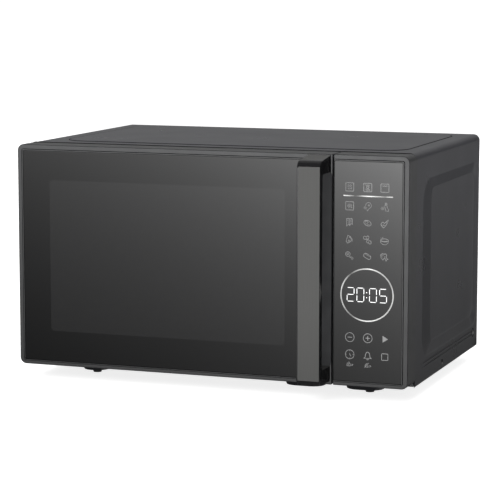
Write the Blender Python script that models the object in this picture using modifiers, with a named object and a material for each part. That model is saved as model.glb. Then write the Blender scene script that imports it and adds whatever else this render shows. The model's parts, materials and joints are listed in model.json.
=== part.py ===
"""Countertop microwave oven with a grill, a side-hinged glass door and a touch panel.

Axes: +X to the user's right, -Y towards the user, +Z up. The origin is on the worktop, under the
middle of the oven's bounding box. Lengths are in metres.
"""
import math

import bmesh
import bpy
from mathutils import Matrix, Vector

MM = 0.001
GAP = 0.3 * MM  # air between touching pieces

# Overall size
WIDTH = 439.5 * MM
DEPTH = 340.2 * MM
HANDLE_REACH = 37.0 * MM
HANDLE_X = (111.3 * MM, 135.3 * MM)
FACE_Y = HANDLE_REACH - DEPTH / 2  # front plane of the door and of the control panel
BACK_Y = DEPTH / 2

# Door and control panel
FRONT_THICK = 28.6 * MM
FRONT_BOTTOM = 17.2 * MM
FRONT_TOP = 257.8 * MM
FRONT_BACK_Y = FACE_Y + FRONT_THICK
FRONT_CORNER = 7.0 * MM
LEFT = -WIDTH / 2
RIGHT = WIDTH / 2
DOOR_RIGHT = 137.5 * MM
PANEL_LEFT = 139.3 * MM
FRAME_FACE = 6.2 * MM  # width of the door frame's border beside the glass
PANEL_FACE = 7.2 * MM  # width of the panel frame's border beside the glass
PANEL_EDGE = 1.0 * MM  # the panel frame's narrow edge beside the door
DOOR_EDGE = 2.2 * MM  # the door frame's narrow edge beside the panel
FRAME_WALL = 2.5 * MM
SHARP_CORNER = 0.8 * MM
GLASS_THICK = 3.0 * MM
GLASS_BOTTOM = FRONT_BOTTOM + 5.0 * MM
GLASS_TOP = FRONT_BOTTOM + 234.0 * MM

# Cabinet
SHEET = 0.8 * MM
CABINET_X = 218.4 * MM
CABINET_TOP = 257.9 * MM
CABINET_BOTTOM = 14.2 * MM
CABINET_FRONT_Y = FRONT_BACK_Y + 0.6 * MM
CABINET_BACK_Y = FACE_Y + 301.2 * MM
TOP_RAISE = 0.7 * MM
TOP_FIELD_X = (-193.0 * MM, 196.0 * MM)
TOP_FIELD_Y = (-77.0 * MM, 148.0 * MM)
TOP_FIELD_R = 26.0 * MM
TOP_FIELD_SLOPE = 2.0 * MM
SIDE_RECESS = 3.0 * MM
RECESS_OUTER_Y = (FACE_Y + 58.0 * MM, FACE_Y + 294.0 * MM)
RECESS_OUTER_Z = (FRONT_BOTTOM + 22.0 * MM, FRONT_BOTTOM + 209.0 * MM)
RECESS_INNER_Y = (FACE_Y + 101.0 * MM, FACE_Y + 286.0 * MM)
RECESS_INNER_Z = (FRONT_BOTTOM + 34.0 * MM, FRONT_BOTTOM + 196.0 * MM)
BACK_PLATE_Y = (CABINET_BACK_Y - 1.5 * MM, CABINET_BACK_Y - 0.7 * MM)
PLATE_Y = CABINET_FRONT_Y  # front face of the oven's front plate
BEHIND_PLATE_Y = PLATE_Y + SHEET + GAP

# Mains cord inlet
CORD_X = 198.0 * MM
CORD_Z = 42.0 * MM

# Oven cavity, inside faces
CAVITY_X = -48.0 * MM
CAVITY_HALF = 151.0 * MM
CAVITY_LEFT = CAVITY_X - CAVITY_HALF
CAVITY_RIGHT = CAVITY_X + CAVITY_HALF
CAVITY_FLOOR = 40.0 * MM
CAVITY_CEILING = 236.0 * MM
CAVITY_FRONT_Y = PLATE_Y + SHEET + GAP
CAVITY_BACK_Y = 158.0 * MM
CAVITY_Y = (CAVITY_FRONT_Y + CAVITY_BACK_Y) / 2
CAVITY_CORNER = 6.0 * MM
OUTSIDE_CAVITY_X = CAVITY_RIGHT + SHEET + GAP
HEATER_Z = 229.0 * MM
HEATER_X = (-112.0 * MM, 16.0 * MM)
HEATER_R = 3.3 * MM
LAMP_Y = -38.0 * MM
LAMP_Z = 111.0 * MM

# Door hinge and latch
HINGE_X = -213.5 * MM
HINGE_Y = FACE_Y + 20.1 * MM
HINGE_PIN_R = 2.0 * MM
HINGE_EDGE_R = 4.5 * MM  # rounding of the door's rear edge that lets it swing past the cabinet
HINGE_LUGS = (("lower", (27.0 * MM, 29.0 * MM)), ("upper", (246.0 * MM, 248.0 * MM)))
HINGE_SOCKETS = (("lower", (31.0 * MM, 38.0 * MM)), ("upper", (237.0 * MM, 244.0 * MM)))
LATCH_X = 125.0 * MM
LATCH_BAR_Y = (-121.0 * MM, -114.0 * MM)
LATCH_BAR_Z = (52.0 * MM, 226.0 * MM)
SPRING_STOP_Z = 243.5 * MM
HOOK_TIP_Y = FACE_Y + 42.0 * MM
SLOT_X = (120.5 * MM, 131.0 * MM)
LATCH_SLOTS = (("lower", (49.0 * MM, 70.0 * MM)), ("upper", (207.0 * MM, 228.0 * MM)))

# Turntable
PLATE_R = 122.5 * MM
WHEEL_R = 7.0 * MM
WHEEL_TRACK = 95.0 * MM
WHEEL_Z = CAVITY_FLOOR + GAP + WHEEL_R
PLATE_Z = WHEEL_Z + WHEEL_R + GAP

# Fan and power parts, right of the cavity
FAN_X = 163.0 * MM
FAN_Z = 190.0 * MM
FAN_BLADE_R = 42.0 * MM
FAN_BLADE_Y = 148.0 * MM
WAVE_Y = (-2.0 * MM, 90.0 * MM)
WAVE_Z = (138.0 * MM, 226.0 * MM)
MAGNETRON_Y = 47.0 * MM
MAGNETRON_Z = 184.0 * MM

# Base
BASE_Z = 14.6 * MM
ON_BASE_Z = BASE_Z + SHEET + GAP
BOSS_Z = 4.0 * MM
FOOT_R = (4.6 * MM, 5.0 * MM)  # on the floor and at the boss
FEET = ((-157.0 * MM, -67.0 * MM), (161.0 * MM, -71.0 * MM),
        (-157.0 * MM, 138.0 * MM), (161.0 * MM, 138.0 * MM))
BOSS_HALF_Y = 14.0 * MM
BOSS_FLARE = 4.0 * MM
BOSSES = ((-157.0 * MM, -67.0 * MM, 14.5 * MM),
          (156.5 * MM, -72.0 * MM, 20.0 * MM),
          (90.0 * MM, -72.0 * MM, 21.5 * MM),
          (-157.0 * MM, 138.0 * MM, 14.5 * MM),
          (161.0 * MM, 138.0 * MM, 14.5 * MM))  # x, y, half length

OVEN = bpy.data.collections.new("microwave_oven")
CUTTERS = bpy.data.collections.new("cutters")
AXES = {"X": Vector((1, 0, 0)), "Y": Vector((0, 1, 0)), "Z": Vector((0, 0, 1))}


# ---------------------------------------------------------------- helpers

def clear_scene():
    for thing in list(bpy.data.objects):
        bpy.data.objects.remove(thing)
    for group in (OVEN, CUTTERS):
        bpy.context.scene.collection.children.link(group)


def material(name, colour, roughness, metallic=0.0, alpha=1.0):
    made = bpy.data.materials.new(name)
    made.use_nodes = True
    shader = made.node_tree.nodes["Principled BSDF"]
    shader.inputs["Base Color"].default_value = (*colour, 1.0)
    shader.inputs["Roughness"].default_value = roughness
    shader.inputs["Metallic"].default_value = metallic
    shader.inputs["Alpha"].default_value = alpha
    made.diffuse_color = (*colour, alpha)
    return made


def add(name, mesh, paint):
    """Puts a mesh in the scene: in the oven with its material, or among the cutters if it has none."""
    thing = bpy.data.objects.new(name, mesh)
    if paint is None:
        CUTTERS.objects.link(thing)
        thing.hide_render = True
        thing.display_type = "WIRE"
    else:
        OVEN.objects.link(thing)
        mesh.materials.append(paint)
    return thing


def finish_mesh(work, name):
    bmesh.ops.recalc_face_normals(work, faces=work.faces)
    mesh = bpy.data.meshes.new(name)
    work.to_mesh(mesh)
    work.free()
    return mesh


def box(name, x, y, z, paint=None):
    """A box between the pairs x, y and z."""
    low = Vector((x[0], y[0], z[0]))
    high = Vector((x[1], y[1], z[1]))
    work = bmesh.new()
    bmesh.ops.create_cube(work, size=1.0)
    bmesh.ops.scale(work, vec=high - low, verts=work.verts)
    thing = add(name, finish_mesh(work, name), paint)
    thing.location = (low + high) / 2
    return thing


def rod(name, start, end, radius, paint=None, sides=24, end_radius=None):
    """A round bar or a cone between two points."""
    start = Vector(start)
    end = Vector(end)
    work = bmesh.new()
    last = radius if end_radius is None else end_radius
    bmesh.ops.create_cone(work, cap_ends=True, segments=sides, radius1=radius, radius2=last,
                          depth=(end - start).length)
    thing = add(name, finish_mesh(work, name), paint)
    thing.location = (start + end) / 2
    thing.rotation_euler = (end - start).to_track_quat("Z", "Y").to_euler()
    thing.data.shade_smooth()
    thing.data.set_sharp_from_angle(angle=math.radians(40))
    return thing


def rod_y(name, x, z, span, radius, paint=None, sides=24):
    """A round bar along Y."""
    return rod(name, (x, span[0], z), (x, span[1], z), radius, paint, sides)


def slab(name, outline, axis, low, high, paint=None):
    """A flat outline given thickness along an axis.

    Its points are (x, z) for axis Y, (y, z) for X and (x, y) for Z."""
    curve = bpy.data.curves.new(name, "CURVE")
    curve.dimensions = "2D"
    curve.fill_mode = "BOTH"
    curve.extrude = (high - low) / 2
    spline = curve.splines.new("POLY")
    spline.points.add(len(outline) - 1)
    for point, (u, v) in zip(spline.points, outline):
        point.co = (u, v, 0.0, 1.0)
    spline.use_cyclic_u = True
    flat = bpy.data.objects.new(name + "_outline", curve)
    bpy.context.scene.collection.objects.link(flat)
    turn = {"Z": Matrix.Identity(3), "Y": Matrix(((1, 0, 0), (0, 0, -1), (0, 1, 0))),
            "X": Matrix(((0, 0, 1), (1, 0, 0), (0, 1, 0)))}[axis]
    flat.matrix_world = Matrix.Translation(AXES[axis] * (low + high) / 2) @ turn.to_4x4()
    bpy.context.view_layer.update()
    seen = flat.evaluated_get(bpy.context.evaluated_depsgraph_get())
    mesh = bpy.data.meshes.new_from_object(seen)
    place = flat.matrix_world.copy()
    bpy.data.objects.remove(flat)
    work = bmesh.new()
    work.from_mesh(mesh)
    bmesh.ops.remove_doubles(work, verts=work.verts, dist=0.01 * MM)
    mesh.materials.clear()
    thing = add(name, finish_mesh(work, name), paint)
    thing.matrix_world = place
    return thing


def grown(span, by):
    """A pair of bounds moved apart by a distance at each end."""
    return (span[0] - by, span[1] + by)


def around(middle, half):
    """The pair of bounds a half width either side of a middle."""
    return (middle - half, middle + half)


def extended(inner, outer, share):
    """The bounds that a slope from inner to outer reaches when it runs on by a share of its length."""
    return (outer[0] - (inner[0] - outer[0]) * share, outer[1] + (outer[1] - inner[1]) * share)


def rounded(u, v, radii, steps=5):
    """The outline of a rectangle with rounded corners.

    Radii run low-low, high-low, high-high, low-high."""
    if isinstance(radii, float):
        radii = (radii,) * 4
    corners = ((u[0], v[0], 1, 1, 180), (u[1], v[0], -1, 1, 270),
               (u[1], v[1], -1, -1, 0), (u[0], v[1], 1, -1, 90))
    points = []
    for (cu, cv, du, dv, begin), radius in zip(corners, radii):
        if radius > 0.0:
            points += arc((cu + du * radius, cv + dv * radius), radius, begin, begin + 90, steps)
        else:
            points.append((cu, cv))
    return points


def arc(centre, radius, begin, end, steps):
    """Points along an arc, angles in degrees."""
    angles = [math.radians(begin + (end - begin) * step / steps) for step in range(steps + 1)]
    return [(centre[0] + radius * math.cos(a), centre[1] + radius * math.sin(a)) for a in angles]


def tube(name, points, radius, paint, closed=False, resolution=2):
    """A bent wire or rod with closed ends."""
    curve = bpy.data.curves.new(name, "CURVE")
    curve.dimensions = "3D"
    curve.bevel_depth = radius
    curve.bevel_resolution = resolution
    curve.use_fill_caps = True
    spline = curve.splines.new("POLY")
    spline.points.add(len(points) - 1)
    for point, place in zip(spline.points, points):
        point.co = (*place, 1.0)
    spline.use_cyclic_u = closed
    curve.materials.append(paint)
    thing = bpy.data.objects.new(name, curve)
    OVEN.objects.link(thing)
    return thing


def turned(name, profile, steps, paint):
    """A solid turned about its own Z axis from a profile that runs down its outer side."""
    mesh = bpy.data.meshes.new(name)
    edges = [(i, i + 1) for i in range(len(profile) - 1)]
    mesh.from_pydata([(r, 0.0, z) for r, z in profile], edges, [])
    thing = add(name, mesh, paint)
    screw = thing.modifiers.new("turn", "SCREW")
    screw.steps = steps
    screw.render_steps = steps
    screw.use_merge_vertices = True
    screw.merge_threshold = 0.01 * MM
    screw.use_smooth_shade = True
    return thing


def combine(operation, target, tools):
    for tool in tools:
        change = target.modifiers.new(tool.name, "BOOLEAN")
        change.operation = operation
        change.solver = "EXACT"
        change.object = tool
        if tool.name not in CUTTERS.objects:
            raise ValueError(tool.name + " is shown, so it can't be a cutter")
    return target


def subtract(target, *tools):
    return combine("DIFFERENCE", target, tools)


def unite(target, *tools):
    return combine("UNION", target, tools)


def intersect(target, *tools):
    return combine("INTERSECT", target, tools)


def bevel(thing, width, segments=1, angle=40):
    change = thing.modifiers.new("rounded_edges", "BEVEL")
    change.width = width
    change.segments = segments
    change.limit_method = "ANGLE"
    change.angle_limit = math.radians(angle)
    return thing


def pivot(name, place):
    """An empty that marks a joint's axis."""
    empty = bpy.data.objects.new(name, None)
    empty.empty_display_size = 0.01
    empty.location = place
    OVEN.objects.link(empty)
    return empty


def hang(parent, *children):
    """Parents pieces to a joint's empty without moving them."""
    bpy.context.view_layer.update()
    for child in children:
        child.parent = parent
        child.matrix_parent_inverse = parent.matrix_world.inverted()


# ---------------------------------------------------------------- materials

CABINET_PAINT = material("cabinet_paint", (0.052, 0.053, 0.057), 0.42, 0.3)
GALVANISED = material("galvanised_steel", (0.42, 0.43, 0.44), 0.42, 0.9)
CAVITY_PAINT = material("cavity_enamel", (0.38, 0.38, 0.37), 0.38)
FRAME_PLASTIC = material("frame_silver_grey", (0.135, 0.137, 0.142), 0.38, 0.4)
BLACK_GLASS = material("black_glass", (0.012, 0.012, 0.013), 0.06)
HANDLE_FINISH = material("handle_finish", (0.13, 0.13, 0.13), 0.3, 0.5)
BLACK_PLASTIC = material("black_plastic", (0.02, 0.02, 0.021), 0.45)
WHITE_PLASTIC = material("white_plastic", (0.72, 0.71, 0.68), 0.5)
CLEAR_FILM = material("clear_film", (0.6, 0.62, 0.64), 0.15, 0.0, 0.35)
TURNTABLE_GLASS = material("turntable_glass", (0.75, 0.8, 0.8), 0.05, 0.0, 0.35)
RUBBER = material("black_rubber", (0.015, 0.015, 0.015), 0.8)
MICA = material("mica_board", (0.55, 0.48, 0.36), 0.6)
FERRITE = material("magnetron_core", (0.45, 0.46, 0.47), 0.45, 0.8)
LAMINATION = material("core_laminations", (0.16, 0.16, 0.17), 0.55, 0.6)
COPPER = material("varnished_copper", (0.42, 0.17, 0.07), 0.4, 0.7)
ALUMINIUM = material("aluminium_can", (0.62, 0.63, 0.64), 0.35, 0.95)
BOARD = material("circuit_board", (0.03, 0.16, 0.07), 0.5)
HEATER_METAL = material("heater_sheath", (0.2, 0.19, 0.18), 0.4, 0.9)
LAMP_GLASS = material("lamp_glass", (0.85, 0.85, 0.8), 0.08, 0.0, 0.5)
CERAMIC = material("ceramic_dome", (0.8, 0.62, 0.58), 0.35)


# ---------------------------------------------------------------- cabinet and base

def pressed_prism(name, side, low_outline, high_outline, axis, low, high):
    """A frustum between two outlines with the same number of points, used to press a shape into sheet."""
    place = {"X": lambda u, v, w: (w * side, u, v), "Z": lambda u, v, w: (u, v, w)}[axis]
    work = bmesh.new()
    rings = []
    for outline, level in ((low_outline, low), (high_outline, high)):
        rings.append([work.verts.new(place(u, v, level)) for u, v in outline])
    work.faces.new(rings[0])
    work.faces.new(rings[1])
    count = len(rings[0])
    for i in range(count):
        work.faces.new((rings[0][i], rings[0][(i + 1) % count], rings[1][(i + 1) % count], rings[1][i]))
    return add(name, finish_mesh(work, name), None)


def cabinet_block(name, inset):
    """The cabinet's envelope, moved in by inset, as a solid block with its pressed side and top shapes."""
    x = CABINET_X - inset
    top = CABINET_TOP - inset
    corner = FRONT_CORNER - inset
    extra = 5.0 * MM if inset else 0.0
    outline = rounded((-x, x), (CABINET_BOTTOM - extra, top), (0.0, 0.0, corner, corner))
    block = slab(name, outline, "Y", CABINET_FRONT_Y - extra, CABINET_BACK_Y + extra, None)
    raised_low = rounded(TOP_FIELD_X, TOP_FIELD_Y, TOP_FIELD_R)
    raised_high = rounded(grown(TOP_FIELD_X, -TOP_FIELD_SLOPE), grown(TOP_FIELD_Y, -TOP_FIELD_SLOPE),
                          TOP_FIELD_R - TOP_FIELD_SLOPE)
    raised_z = (top - 1.0 * MM, top + TOP_RAISE)
    unite(block, pressed_prism(name + "_top", 1, raised_low, raised_high, "Z", *raised_z))
    rise = 1.0 * MM
    wide_y = extended(RECESS_INNER_Y, RECESS_OUTER_Y, rise / SIDE_RECESS)
    wide_z = extended(RECESS_INNER_Z, RECESS_OUTER_Z, rise / SIDE_RECESS)
    for side, word in ((1, "right"), (-1, "left")):
        outer = rounded(wide_y, wide_z, 30.0 * MM)
        inner = rounded(RECESS_INNER_Y, RECESS_INNER_Z, 12.0 * MM)
        subtract(block, pressed_prism(f"{name}_{word}", side, inner, outer, "X", x - SIDE_RECESS, x + rise))
    return block


def cabinet_wrap():
    """Folded steel cover: top and both sides in one sheet, with a raised top panel and recessed sides."""
    wrap = cabinet_block("cabinet_wrap", 0.0)
    CUTTERS.objects.unlink(wrap)
    OVEN.objects.link(wrap)
    wrap.hide_render = False
    wrap.display_type = "TEXTURED"
    wrap.data.materials.append(CABINET_PAINT)
    subtract(wrap, cabinet_block("cabinet_inside", SHEET))
    return wrap


def boss(name, place, inset, low, high):
    """A tapered, round-ended shape pressed down from the tray."""
    x, y, half = place
    outlines = []
    for grow in (0.0, BOSS_FLARE):
        wide = half + grow - inset
        deep = BOSS_HALF_Y + grow - inset
        outlines.append(rounded(around(x, wide), around(y, deep), deep - 0.5 * MM))
    return pressed_prism(name, 1, outlines[0], outlines[1], "Z", low, high)


def base_plate():
    """Steel tray under the oven, with five stamped bosses, four of which carry the feet."""
    x = CABINET_X - SHEET - 0.4 * MM
    y = (CAVITY_FRONT_Y + 0.1 * MM, CABINET_BACK_Y - 2.0 * MM)
    base = box("base_plate", (-x, x), y, (BASE_Z, BASE_Z + 7.0 * MM), CABINET_PAINT)
    inner_y = (y[0] + SHEET, y[1] - SHEET)
    top = BASE_Z + SHEET / 2
    bosses = [boss(f"boss_{number}", place, 0.0, BOSS_Z, top) for number, place in enumerate(BOSSES)]
    dimples = [boss(f"dimple_{number}", place, SHEET, BOSS_Z + SHEET, top + 0.9 * MM)
               for number, place in enumerate(BOSSES)]
    unite(base, *bosses)
    inner_z = (BASE_Z + SHEET, BASE_Z + 9.0 * MM)
    subtract(base, box("base_inside", (-x + SHEET, x - SHEET), inner_y, inner_z))
    subtract(base, *dimples)
    for number, (fx, fy) in enumerate(FEET, 1):
        subtract(base, rod(f"foot_hole_{number}", (fx, fy, 0.0), (fx, fy, 10.0 * MM), 3.0 * MM, None, 16))
    return base


def feet():
    """Rubber feet pushed into the bosses from below."""
    inside = BOSS_Z + SHEET + GAP
    for number, (x, y) in enumerate(FEET, 1):
        foot = rod(f"foot_{number}", (x, y, 0.0), (x, y, BOSS_Z - GAP), FOOT_R[0], RUBBER, 20, FOOT_R[1])
        neck = rod(f"foot_neck_{number}", (x, y, BOSS_Z - 2.0 * MM), (x, y, 8.0 * MM), 2.6 * MM, None, 12)
        head = rod(f"foot_head_{number}", (x, y, inside), (x, y, 8.6 * MM), 4.0 * MM, None, 12, 3.0 * MM)
        unite(foot, neck, head)


def back_plate():
    """Steel back with cooling slots behind the fan and an exhaust grid behind the cavity."""
    x = CABINET_X - SHEET - GAP
    z = (CABINET_BOTTOM + 1.4 * MM, CABINET_TOP - SHEET - GAP)
    outline = rounded((-x, x), z, (0.0, 0.0, 6.0 * MM, 6.0 * MM))
    back = slab("back_plate", outline, "Y", *BACK_PLATE_Y, GALVANISED)
    slots = []
    deep = (CABINET_BACK_Y - 4.0 * MM, CABINET_BACK_Y + 2.0 * MM)
    for row in range(8):
        level = FAN_Z + (row - 3.5) * 9.0 * MM
        for column in range(3):
            span = around(FAN_X + (column - 1) * 26.0 * MM, 11.0 * MM)
            slots.append(box(f"fan_slot_{row}_{column}", span, deep, around(level, 1.8 * MM)))
    for column in range(7):
        span = around(-160.0 * MM + column * 10.0 * MM, 1.8 * MM)
        slots.append(box(f"exhaust_slot_{column}", span, deep, (190.0 * MM, 222.0 * MM)))
    slots.append(rod_y("inlet_hole", CORD_X, CORD_Z, deep, 8.0 * MM))
    subtract(back, *slots)
    return back


def cord_inlet():
    """Grommet in the back plate where the mains cord enters."""
    near, far = BACK_PLATE_Y
    outer = rod_y("cord_inlet", CORD_X, CORD_Z, (far + GAP, BACK_Y), 11.0 * MM, BLACK_PLASTIC, 20)
    neck = rod_y("inlet_neck", CORD_X, CORD_Z, (near - 3.0 * MM, BACK_Y - 1.0 * MM), 7.6 * MM, None, 20)
    lip = rod_y("inlet_lip", CORD_X, CORD_Z, (near - 4.5 * MM, near - GAP), 10.0 * MM, None, 20)
    bore = rod_y("inlet_bore", CORD_X, CORD_Z, (near - 9.0 * MM, BACK_Y + 3.0 * MM), 4.4 * MM, None, 20)
    unite(outer, neck, lip)
    subtract(outer, bore)


# ---------------------------------------------------------------- oven cavity

def front_plate():
    """Steel plate that the door closes against, with the oven mouth, latch slots and hinge slots."""
    x = (-CABINET_X + SHEET + GAP, DOOR_RIGHT)
    z = (CABINET_BOTTOM + 1.2 * MM, CABINET_TOP - SHEET - GAP)
    outline = rounded(x, z, (0.0, 0.0, 0.0, 6.0 * MM))
    plate = slab("front_plate", outline, "Y", PLATE_Y, PLATE_Y + SHEET, GALVANISED)
    deep = (PLATE_Y - 2.0 * MM, PLATE_Y + 2.0 * MM)
    mouth = rounded((CAVITY_LEFT, CAVITY_RIGHT), (CAVITY_FLOOR, CAVITY_CEILING), CAVITY_CORNER, 3)
    subtract(plate, slab("mouth_cut", mouth, "Y", *deep))
    for word, level in LATCH_SLOTS:
        subtract(plate, box(f"plate_slot_{word}", SLOT_X, deep, level))
    for word, level in HINGE_LUGS:
        lug = grown(level, 0.5 * MM)
        subtract(plate, box(f"plate_hinge_{word}", (x[0] - 1.0 * MM, HINGE_X + 4.2 * MM), deep, lug))
    return plate


def oven_cavity():
    """Five-sided enamelled steel box, open at the front."""
    inner_x = (CAVITY_LEFT, CAVITY_RIGHT)
    inner_z = (CAVITY_FLOOR, CAVITY_CEILING)
    outer = rounded(grown(inner_x, SHEET), grown(inner_z, SHEET), CAVITY_CORNER + SHEET, 3)
    inner = rounded(inner_x, inner_z, CAVITY_CORNER, 3)
    cavity = slab("oven_cavity", outer, "Y", CAVITY_FRONT_Y, CAVITY_BACK_Y + SHEET, CAVITY_PAINT)
    subtract(cavity, slab("cavity_inside", inner, "Y", CAVITY_FRONT_Y - 3.0 * MM, CAVITY_BACK_Y))
    shaft = (CAVITY_X, CAVITY_Y)
    subtract(cavity, rod("shaft_hole", (*shaft, 36.0 * MM), (*shaft, 44.0 * MM), 8.0 * MM))
    wall = (CAVITY_RIGHT - 2.0 * MM, CAVITY_RIGHT + 3.0 * MM)
    subtract(cavity, box("wave_window", wall, (10.0 * MM, 80.0 * MM), (148.0 * MM, 182.0 * MM)))
    back = around(CAVITY_BACK_Y, 3.0 * MM)
    for word, x in zip(("left", "right"), HEATER_X):
        subtract(cavity, rod_y(f"heater_hole_{word}", x, HEATER_Z, back, HEATER_R + 1.3 * MM))
    for number in range(6):
        y = -44.0 * MM + number * 6.0 * MM
        subtract(cavity, box(f"air_slot_{number}", wall, (y, y + 2.4 * MM), (160.0 * MM, 210.0 * MM)))
    for number in range(4):
        y = LAMP_Y + (number * 5.0 - 8.0) * MM
        subtract(cavity, box(f"lamp_slot_{number}", wall, (y, y + 2.4 * MM), around(LAMP_Z, 10.0 * MM)))
    return cavity


def waveguide():
    """Sheet duct that carries the microwaves from the magnetron to the cavity's side window."""
    x = (OUTSIDE_CAVITY_X, 130.0 * MM)
    duct = box("waveguide", x, WAVE_Y, WAVE_Z, GALVANISED)
    inside_x = (x[0] - 2.0 * MM, x[1] - SHEET)
    subtract(duct, box("waveguide_inside", inside_x, grown(WAVE_Y, -SHEET), grown(WAVE_Z, -SHEET)))
    axis = (MAGNETRON_Y, MAGNETRON_Z)
    subtract(duct, rod("antenna_hole", (x[1] - 5.0 * MM, *axis), (x[1] + 5.0 * MM, *axis), 9.5 * MM))
    box("waveguide_cover", (CAVITY_RIGHT - 0.9 * MM, CAVITY_RIGHT - GAP), (5.0 * MM, 85.0 * MM),
        (144.0 * MM, 187.0 * MM), MICA)


def magnetron():
    """Magnetron: steel yoke, finned anode with its two ring magnets, ceramic antenna and filter box."""
    y = around(MAGNETRON_Y, 41.0 * MM)
    z = around(MAGNETRON_Z, 38.0 * MM)
    x = (130.5 * MM, 190.0 * MM)
    wall = 2.0 * MM
    yoke = box("magnetron_yoke", x, y, z, GALVANISED)
    subtract(yoke, box("yoke_inside", grown(x, -wall), grown(y, wall), grown(z, -wall)))
    axis = (MAGNETRON_Y, MAGNETRON_Z)
    subtract(yoke, rod("yoke_hole", (x[0] - wall, *axis), (x[0] + 2 * wall, *axis), 9.5 * MM))
    core_x = grown(x, -wall - GAP)
    core = rod("magnetron_anode", (core_x[0], *axis), (core_x[1], *axis), 20.0 * MM, FERRITE, 20)
    magnets = (rod("magnet_front", (core_x[0], *axis), (core_x[0] + 9.0 * MM, *axis), 28.0 * MM, None, 20),
               rod("magnet_rear", (core_x[1] - 9.0 * MM, *axis), (core_x[1], *axis), 28.0 * MM, None, 20))
    fins = []
    for number in range(5):
        fin_x = core_x[0] + 14.0 * MM + number * 6.5 * MM
        fins.append(box(f"fin_{number}", (fin_x, fin_x + 1.0 * MM), grown(y, -4.0 * MM),
                        grown(z, -wall - 1.0 * MM)))
    unite(core, *magnets, *fins)
    antenna = rod("magnetron_antenna", (114.0 * MM, *axis), (x[0] + wall, *axis), 7.5 * MM, CERAMIC, 20)
    bevel(antenna, 2.0 * MM)
    filter_x = (x[1] + GAP, 211.0 * MM)
    box("magnetron_filter_box", filter_x, grown(y, -12.0 * MM), grown(z, -12.0 * MM), GALVANISED)
    thermal_cutout((x[0] + x[1]) / 2, z[1] + GAP)


def thermal_cutout(x, level):
    """Temperature switch screwed to the top of the magnetron."""
    top = level + 7.0 * MM
    cutout = rod("thermal_cutout", (x, MAGNETRON_Y, level), (x, MAGNETRON_Y, top), 8.0 * MM, BLACK_PLASTIC)
    flange_y = around(MAGNETRON_Y, 5.0 * MM)
    unite(cutout, box("cutout_flange", around(x, 12.0 * MM), flange_y, (level, level + 1.0 * MM)))


def transformer():
    """High-voltage transformer: laminated core with two coils on its middle leg."""
    middle = 162.0 * MM
    leg = 14.0 * MM  # half the middle leg's width
    window = 15.0 * MM
    clear = 0.4 * MM
    y = (20.0 * MM, 78.0 * MM)
    core = box("transformer_core", around(middle, 44.0 * MM), y, (ON_BASE_Z, 91.0 * MM), LAMINATION)
    for word, side in (("left", -1), ("right", 1)):
        span = around(middle + side * (leg + window / 2), window / 2)
        subtract(core, box(f"core_window_{word}", span, grown(y, 5.0 * MM), (31.0 * MM, 78.0 * MM)))
    coils = (("transformer_primary_coil", (32.0 * MM, 52.0 * MM)),
             ("transformer_secondary_coil", (55.0 * MM, 77.0 * MM)))
    for name, level in coils:
        outline = rounded(around(middle, leg + window - clear), grown(y, 13.0 * MM), 9.0 * MM, 4)
        coil = slab(name, outline, "Z", *level, COPPER)
        hole_x = around(middle, leg + clear)
        subtract(coil, box(name + "_hole", hole_x, grown(y, clear), grown(level, 5.0 * MM)))


def capacitor():
    """High-voltage capacitor can with its strap, and the diode that earths it."""
    middle = (172.0 * MM, -45.0 * MM)
    half = (27.0 * MM, 17.0 * MM)
    end = 16.9 * MM  # radius of the can's rounded ends

    def section(grow):
        return rounded(around(middle[0], half[0] + grow), around(middle[1], half[1] + grow), end + grow, 6)

    can = slab("capacitor", section(0.0), "Z", ON_BASE_Z, 104.0 * MM, ALUMINIUM)
    for word, side in (("left", -1), ("right", 1)):
        span = around(middle[0] + side * 10.0 * MM, 3.0 * MM)
        unite(can, box(f"terminal_{word}", span, around(middle[1], 0.6 * MM), (102.0 * MM, 113.0 * MM)))
    strap_z = (44.0 * MM, 58.0 * MM)
    strap = slab("capacitor_clamp", section(1.3 * MM), "Z", *strap_z, GALVANISED)
    leg_x = around(middle[0], 6.0 * MM)
    leg_y = (middle[1] + half[1] + GAP, middle[1] + half[1] + 1.2 * MM)
    unite(strap, box("clamp_leg", leg_x, leg_y, (ON_BASE_Z, strap_z[1] - 1.0 * MM)))
    foot_y = (leg_y[0], leg_y[1] + 11.0 * MM)
    unite(strap, box("clamp_foot", leg_x, foot_y, (ON_BASE_Z, ON_BASE_Z + 1.0 * MM)))
    subtract(strap, slab("clamp_inside", section(GAP), "Z", *grown(strap_z, 4.0 * MM)))
    diode((154.0 * MM, -12.0 * MM, ON_BASE_Z + 4.0 * MM))


def diode(middle):
    """High-voltage diode with its two leads."""
    reach = Vector((8.0 * MM, 0.0, 0.0))
    centre = Vector(middle)
    body = rod("diode", centre - reach, centre + reach, 3.6 * MM, BLACK_PLASTIC)
    unite(body, rod("diode_lead", centre - 2 * reach, centre + 2 * reach, 1.0 * MM, None, 12))


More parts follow.
